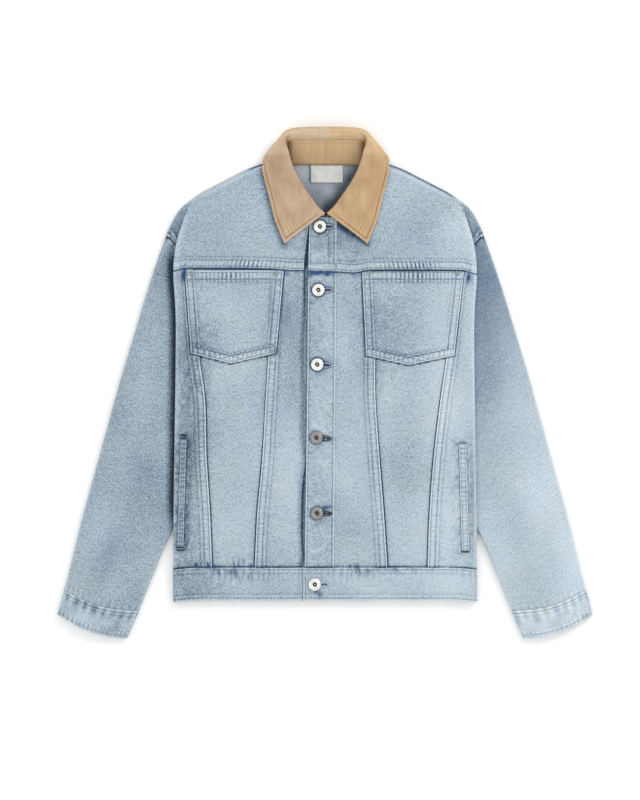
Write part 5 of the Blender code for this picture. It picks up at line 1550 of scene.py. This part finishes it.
def turnedMesh(name, profile, sidesRound, material, places, tilt=(0, 0), recess=None):
    # turned on a lathe from its outline of radius and height, and set at each place
    outline = np.array(profile, float)
    angles = np.linspace(0, 2 * np.pi, sidesRound, endpoint=False)
    points, faces = [], []
    for x, y, z in places:
        start = sum(len(group) for group in points)
        ring = np.stack([np.outer(np.cos(angles), outline[:, 0]), np.outer(np.sin(angles), outline[:, 0]),
                         np.broadcast_to(outline[:, 1], (sidesRound, len(outline)))], axis=-1)
        ring[:, :, 2] += ring[:, :, 0] * math.tan(tilt[0]) + ring[:, :, 1] * math.tan(tilt[1])
        points.append((ring + (x, y, z)).reshape(-1, 3))
        for k in range(sidesRound):
            n = (k + 1) % sidesRound
            for r in range(len(outline) - 1):
                a, b = start + k * len(outline) + r, start + n * len(outline) + r
                faces.append((a, a + 1, b + 1, b))
    mesh = bpy.data.meshes.new(name)
    mesh.from_pydata((np.concatenate(points) * mm).tolist(), [], faces)
    made = finishObject(name, mesh, material)
    made.data.set_sharp_from_angle(angle=math.radians(48))
    if recess:
        steps = len(outline) - 1
        inRecess = [recess[0] <= r < recess[1] for r in range(steps)] * (len(faces) // steps)
        mesh.polygons.foreach_set("material_index", np.array(inRecess, dtype=np.int32))
    return made


studOutline = [  # radius and height of a stud's head
    (0.01, 0.55), (0.9, 0.5), (1.3, 0.2), (1.9, 0.2), (2.5, 0.95), (3.2, 1.05), (3.6, 0.7), (3.75, 0.1),
    (3.5, -0.3),
]


def buildStuds(side):
    shape, sign = pocketShapes[side], sides[side]
    for place, half in (("inner", shape["innerTop"] + pocketLook["studIn"]),
                        ("outer", shape["outerTop"] - pocketLook["studIn"])):
        x, y = sign * half, pocketLook["topY"] - pocketLook["studDown"]
        z = float(clothHeight(x, y)) + pocketLook["rise"] + 0.75
        stud = turnedMesh("pocketStud." + place + "." + side, studOutline, 28, studMetal, [(x, y, z)])
        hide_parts("pocket_rivet_" + place + "_" + side)


buttonOutline = [  # radius and height of a shank button's face, from its pin to its foot
    (0.01, 1.9), (0.7, 1.8), (1.15, 1.4), (1.35, 0.6), (1.6, 0.1), (2.7, 0.1), (3.05, 0.5), (3.2, 1.9),
    (3.5, 2.4), (4.2, 2.75), (5.2, 3.05), (6.2, 3.2), (7.2, 3.1), (7.9, 2.9), (8.1, 2.65), (8.45, 2.6),
    (8.8, 2.75), (9.2, 2.6), (9.55, 2.2), (9.75, 1.6), (9.65, 1.1), (9.2, 0.6), (8.6, 0.3), (8.2, 0.0),
]


def buildButtons():
    for number, (x, y, finish) in enumerate(buttonRows, start=1):
        if y < body["waistSeamY"]:
            z = body["bandTop"] + 0.75
        else:
            ring = [(x + 9 * math.cos(a), y + 9 * math.sin(a)) for a in np.linspace(0, 6.28, 9)]
            z = max(float(clothHeight(*spot)) for spot in ring) + body["placketRise"] + 0.35
        tilt = (0.02 * math.sin(number * 2.1), 0.03 * math.cos(number * 1.7))
        button = turnedMesh("button." + str(number), buttonOutline, 64, [finish, recessMetal], [(x, y, z)],
                            tilt, recess=(2, 8))
        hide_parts("button_" + str(number))


def buildHoles():
    # each worked hole is a ring of short threads round a slot, pointed at its outer end
    for number, (x, y, _) in enumerate(buttonRows, start=1):
        slope = -holeLook["slope"] if number in (3, 4) else -0.017
        length = holeLook["end"] - holeLook["start"]
        t = np.linspace(0, 1, 40)
        along = holeLook["start"] + length * t
        high = holeHalf(t)
        outline = np.concatenate([np.stack([along, high], -1), np.stack([along, -high], -1)[::-1]])
        c, s = math.cos(slope), math.sin(slope)
        px = x + outline[:, 0] * c - outline[:, 1] * s
        py = y + outline[:, 0] * s + outline[:, 1] * c
        if y < body["waistSeamY"]:
            pz = body["bandTop"] + 0.55 + 0 * px
        else:
            pz = placketTop(px, py)[0]
        path = np.stack([px, py, pz + 0.15], axis=-1)
        rows = "holeDark" if number in (4, 5) else "hole"
        sewnRows[rows].append((path, holeLook["pitch"]))
        # the slot between the threads: a dark thread row standing in for the shade in the slit
        slot = np.stack([x + (holeLook["start"] + length * t * 0.86) * c,
                         y + (holeLook["start"] + length * t) * s,
                         np.interp(t, np.linspace(0, 1, 40), path[:40, 2]) - 0.1], axis=-1)
        sewnRows["slot"].append((slot, 2.6))


collarLook = {"stitchIn": 5.6, "columns": 250}


def collarPoint(name, station):
    return np.stack([follow(collarTable, name + axis, station) for axis in "XYZ"], axis=-1)


def smoothRow(points, v):
    # a smooth curve through the rows of points, read at v from 0 to the last row
    last = len(points) - 1
    v = np.clip(v, 0, last)
    i = np.clip(np.floor(v).astype(int), 0, last - 1)
    s = (v - i)[..., None]
    stack = np.stack(points)
    slopes = np.empty_like(stack)
    for k in range(last + 1):
        slopes[k] = (stack[min(k + 1, last)] - stack[max(k - 1, 0)]) / (2 if 0 < k < last else 1)
    index = np.arange(stack.shape[1])[:, None], np.arange(stack.shape[2])[None, :]
    p0, p1 = stack[i, index[0], index[1]], stack[i + 1, index[0], index[1]]
    m0, m1 = slopes[i, index[0], index[1]], slopes[i + 1, index[0], index[1]]
    return (p0 * (1 + 2 * s) * (1 - s) ** 2 + p1 * s * s * (3 - 2 * s) + m0 * s * (1 - s) ** 2
            - m1 * s * s * (1 - s))


def leafForm(u, v):
    # u runs round the collar from 0 to 24, v over its rows from the stand's seam to the free edge
    station, sign = 12 - np.abs(u - 12), np.where(u < 12, -1.0, 1.0)
    seam, roll, side, edge = (collarPoint(name, station) for name in ("seam", "roll", "side", "edge"))
    out = (side - roll)[..., :2]
    out = out / np.linalg.norm(out, axis=-1, keepdims=True)
    inner = (seam + roll) / 2
    inner[..., :2] -= out * follow(collarTable, "overhang", station)[..., None]
    halfWay = (roll + side) / 2
    halfWay[..., 2] += 1.2
    form = smoothRow([seam, inner, roll, halfWay, side, edge], v)
    return form, station, sign


def leafTop(u, v):
    form, station, sign = leafForm(u, v)
    edge = collarPoint("edge", station)
    fromEdge = np.linalg.norm(form - edge, axis=-1)
    frontRow, _, _ = leafForm(np.where(u < 12, 0.0, 24.0) + 0 * u, v)
    fromFront = np.linalg.norm(form - frontRow, axis=-1)
    onLeaf = ease((v - 2.2) / 0.6)
    near = np.minimum(fromEdge, fromFront)
    drop = -1.0 * (1 - ease(near / 1.8)) * ease((v - 1.6) / 0.4)
    groove = -0.55 * hill(near - collarLook["stitchIn"], 1.1) + 0.35 * hill(near - 2.8, 1.6)
    # short pleats drawn up by the stitching near the tips, and the collar's own dents
    pleats = np.sin(fromEdge / 0.85 + 0.6) * hill(fromFront - 12, 6) * hill(fromEdge - 18, 9)
    x, y = form[..., 0], form[..., 1]
    dents = 0.5 * swells(x, y, 22, 22, 2) + 0.25 * swells(x, y, 9, 9, 5)
    form = form.copy()
    form[..., 2] += (drop + groove + 0.55 * pleats + dents * ease(near / 8)) * onLeaf
    along = np.where(fromFront < fromEdge, fromEdge, fromFront)
    washAndShade = (0.45 * hill(near - 1.2, 1.3) - (0.55 + 0.35 * tickMarks(along, 4.2, 1))
            * hill(near - collarLook["stitchIn"], 1.0))
    washAndShade = washAndShade + 0.3 * hill(near - collarLook["stitchIn"] - 2.2, 1.2) + 0.6 * pleats
    washAndShade = washAndShade * onLeaf + 0.22 * swells(x, y, 26, 26, 3) + 0.14 * swells(x, y, 5, 9, 7)
    # paler on the roll behind the neck, and painted shadow in its two corners
    washAndShade = washAndShade + 0.55 * hill(v - 1.5, 0.9) * ease((station - 8.6) / 1.2)
    washAndShade = washAndShade - 1.5 * hill(station - 8.3, 0.75) * hill(v - 0.9, 1.0)
    return form, sign, washAndShade, near


def buildCollar():
    columns = np.linspace(0, 24, collarLook["columns"])
    run = np.zeros(len(columns))
    middleLine, _, _ = leafForm(columns[:, None], np.full((len(columns), 1), 2.6))
    signed = middleLine[:, 0] * [1.0, 1.0, 1.0]
    signed[:, 0] *= np.where(columns < 12, -1.0, 1.0)
    run[1:] = np.cumsum(np.linalg.norm(np.diff(signed, axis=0), axis=1))
    even = np.interp(np.linspace(0, run[-1], collarLook["columns"]), run, columns)
    even = np.unique(np.concatenate([[0.0, 0.02, 0.05, 0.09], even[2:-2], [23.91, 23.95, 23.98, 24.0]]))
    rows = np.concatenate([np.linspace(0, 2, 9)[:-1], np.linspace(2, 4.93, 48), [4.96, 4.98, 5.0]])

    def place(u, v):
        form, sign, washAndShade, _ = leafTop(u, v)
        x = collarMiddle + sign * form[..., 0]
        tone = -0.38 + 0.02 * sign + 0.4 * ease((form[..., 1] - 350) / 12)
        return x, form[..., 1], form[..., 2], washAndShade + tone, 0.85 * ease((x - collarMiddle) / 8)

    def grain(u, v):
        return np.interp(u, columns, run), 30 * v + 0 * u

    leaf = makeCloth("collarLeaf", even, rows, place, tanCorduroy, grain=grain, wall=1.9)
    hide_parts("collar_leaf")

    def sewLeaf(sign, u, v):
        x, y, z = np.moveaxis(leafTop(u[:, None], v[:, None])[0][:, 0], -1, 0)
        sew("tan", collarMiddle + sign * x, y, z + 0.25, 3.0)

    # a row of stitches follows the free edge, and another turns up the front
    for sign, start in ((-1.0, 0.0), (1.0, 24.0)):
        stations = np.linspace(0.0, 8.2, 160)
        u = start - sign * stations if sign > 0 else stations
        edge = collarPoint("edge", 12 - np.abs(u - 12))
        v = np.full(len(u), 4.5)
        for _ in range(24):
            form, _, _ = leafForm(u[:, None], v[:, None])
            gap = np.linalg.norm(form[:, 0] - edge, axis=-1)
            v = np.clip(v + (gap - collarLook["stitchIn"]) * 0.012, 2.5, 4.99)
        sewLeaf(sign, u[10:], v[10:])
        v = np.linspace(2.15, float(v[10]), 70)
        u = np.full(len(v), 0.5)
        front = leafForm(np.full((len(v), 1), start), v[:, None])[0]
        for _ in range(24):
            form, _, _ = leafForm((start - sign * u if sign > 0 else u)[:, None], v[:, None])
            gap = np.linalg.norm(form - front, axis=-1)[:, 0]
            u = np.clip(u + (collarLook["stitchIn"] - gap) * 0.03, 0.02, 1.6)
        sewLeaf(sign, start - sign * u if sign > 0 else u, v)

    def standPlace(u, v):
        station, sign = 12 - np.abs(u - 12), np.where(u < 12, -1.0, 1.0)
        neck, seam = collarPoint("neck", station), collarPoint("seam", station)
        hidden = follow(collarTable, "overhang", station) / 3.4
        top = seam.copy()
        top[..., 1] -= 0.25 * (1 - hidden)
        top[..., 2] -= 0.25 + hidden * 2.6
        form = mix(neck, top, v[..., None])
        tall = np.linalg.norm(top - neck, axis=-1)
        fromTop, fromNeck = (1 - v) * tall, v * tall
        x, y = form[..., 0], form[..., 1]
        bulge = 0.8 * np.sin(np.pi * v) + 0.3 * swells(x * sign, y, 26, 20, 4)
        form[..., 2] += bulge * ease(fromTop / 4) * ease(fromNeck / 4)
        # the dark line below the stand's top is painted shadow under the leaf's roll, and the darkening
        # towards its ends is painted shade under the leaf's sides
        washAndShade = (0.08 - 0.35 * hill(fromTop - 3.4, 0.8) + 0.4 * hill(fromTop - 1.6, 1.0)
                - 0.5 * hill(fromNeck - 2.2, 0.9))
        washAndShade = washAndShade - 0.5 * hill(x, 0.9) - 1.6 * ease((np.abs(x) - 47) / 12)
        washAndShade = washAndShade + 0.16 * swells(x * sign, y, 2.6, 30, 9)
        return collarMiddle + sign * x, y, form[..., 2], washAndShade, 0.95 + 0 * u

    stand = makeCloth("collarStand", even, np.linspace(0, 1, 22), standPlace, tanCorduroy, grain=grain,
                      wall=1.9, upAt=(collarMiddle, 360, 16))
    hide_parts("collar_stand")
    u = np.linspace(9.2, 14.8, 120)
    for v in (0.93, 0.06):
        x, y, z = (values[:, 0] for values in standPlace(u[:, None], np.full((len(u), 1), v))[:3])
        sew("tan", x, y, z + 0.2, 3.0)


def makeTape():
    # Woven polyester satin tape: smooth, off white, with fine ribs across it.
    material, tree, shader = startMaterial("Polyester satin tape, woven", {
        "Roughness": 0.55, "IOR": 1.57, "Sheen Weight": 0.1, "Specular IOR Level": 0.4})
    uv = addNode(tree, "ShaderNodeUVMap", {"uv_map": "grain"}).outputs["UV"]
    ribs = addNode(tree, "ShaderNodeTexWave", {"Scale": 240.0, "Distortion": 0.4},
                   {"Vector": uv})  # 0.9 mm apart
    colour = rampFrom(tree, noiseFrom(tree, uv, 1000 / 90, 3.0), [(0.3, "#bfc2bf"), (0.7, "#d6d8d4")])
    finishShader(tree, shader, colour, ribs.outputs["Fac"], 0.2, 0.0002)
    return material


labelLook = {"x": (-21.4, 28.8), "y": (313.6, 340.2), "z": 2.9, "wide": 50.2, "tall": 26.6}


def buildLabel():
    def place(u, v):
        x, y = mix(*labelLook["x"], u), mix(*labelLook["y"], v)
        d = np.minimum(np.minimum(u, 1 - u) * 50, np.minimum(v, 1 - v) * labelLook["tall"])
        z = (labelLook["z"] - 0.7 * (1 - ease(d / 0.9)) + 0.5 * (1 - v) ** 2
             + 0.25 * np.sin(3.1 * u + 0.4) * (1 - v))
        z = z - 0.15 * hill(d - 1.6, 0.5)
        return x, y, z, 0 * x, 0 * x

    piece = makeCloth("neckLabel", stops(labelLook["wide"], 1.6), stops(labelLook["tall"], 1.4), place,
                      makeTape())
    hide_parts("neck_label")


for side in sides:
    buildPocket(side)
    buildWelt(side)
    buildStuds(side)
buildButtons()
buildHoles()
buildCollar()
buildLabel()
print("pockets, buttons, collar and label made")

threads = {
    "blue": ("seamThread", blueThread, threadUse), "tan": ("collarThread", tanThread, threadUse),
    "green": ("topBarThread", greenThread, {"pitch": 2.0, "length": 2.3, "thick": 0.5, "lift": 0.3}),
    "navy": ("barThread", navyThread, {"pitch": 2.0, "length": 2.3, "thick": 0.62, "lift": 0.3}),
    "hole": ("holeThread", paleThread, {"pitch": 1.15, "length": 1.5, "thick": 0.58, "lift": 0.35}),
    "holeDark": ("holeThreadDark", navyThread, {"pitch": 1.15, "length": 1.5, "thick": 0.6, "lift": 0.2}),
    "slot": ("holeSlotShade", navyThread, {"pitch": 2.6, "length": 3.2, "thick": 0.7, "lift": 0.0}),
}
for rows, (name, finish, use) in threads.items():
    stitchMesh(name, sewnRows[rows], finish, use)
print("stitches made")


studio = {"floorHex": "#f7f7f7", "sky": 1.0, "key": 19.0, "fill": 8.0,
          "sensor": 36, "away": 3.49, "tall": 1.24}  # the view is this many metres away and tall
floorMesh = bpy.data.meshes.new("floor")
floorMesh.from_pydata([(-6, -6, -0.0004), (6, -6, -0.0004), (6, 6, -0.0004), (-6, 6, -0.0004)], [],
                      [(0, 1, 2, 3)])
floor = bpy.data.objects.new("floor", floorMesh)
bpy.context.scene.collection.objects.link(floor)
# Matt white paper from a roll
floorMesh.materials.append(startMaterial("White paper, matt", {
    "Roughness": 0.9, "Base Color": linear(studio["floorHex"])})[0])

world = bpy.data.worlds.new("Studio")
bpy.context.scene.world = world
world.use_nodes = True
sky = world.node_tree.nodes["Background"]
sky.inputs["Color"].default_value = (1, 1, 1, 1)
sky.inputs["Strength"].default_value = studio["sky"]


def addLamp(name, power, size, spot, aim):
    lamp = bpy.data.lights.new(name, "AREA")
    lamp.energy, lamp.size, lamp.shape = power, size, "DISK"
    made = bpy.data.objects.new(name, lamp)
    bpy.context.scene.collection.objects.link(made)
    made.location = spot
    away = [a - b for a, b in zip(spot, aim)]
    made.rotation_euler = (math.acos(away[2] / math.sqrt(sum(a * a for a in away))), 0,
                           math.atan2(away[0], -away[1]))
    return made


keyLamp = addLamp("keyLamp", studio["key"], 0.9, (1.7, 1.5, 1.7), (0, 0, 0))
fillLamp = addLamp("fillLamp", studio["fill"], 2.2, (-1.8, -0.8, 2.2), (0, 0, 0))

camera = bpy.data.objects.new("camera", bpy.data.cameras.new("camera"))
bpy.context.scene.collection.objects.link(camera)
camera.location = (-0.007, -0.024, 3.5)
camera.data.sensor_fit, camera.data.sensor_height = "VERTICAL", studio["sensor"]
camera.data.lens = studio["sensor"] * studio["away"] / studio["tall"]
bpy.context.scene.camera = camera
bpy.context.scene.view_settings.view_transform = "Standard"
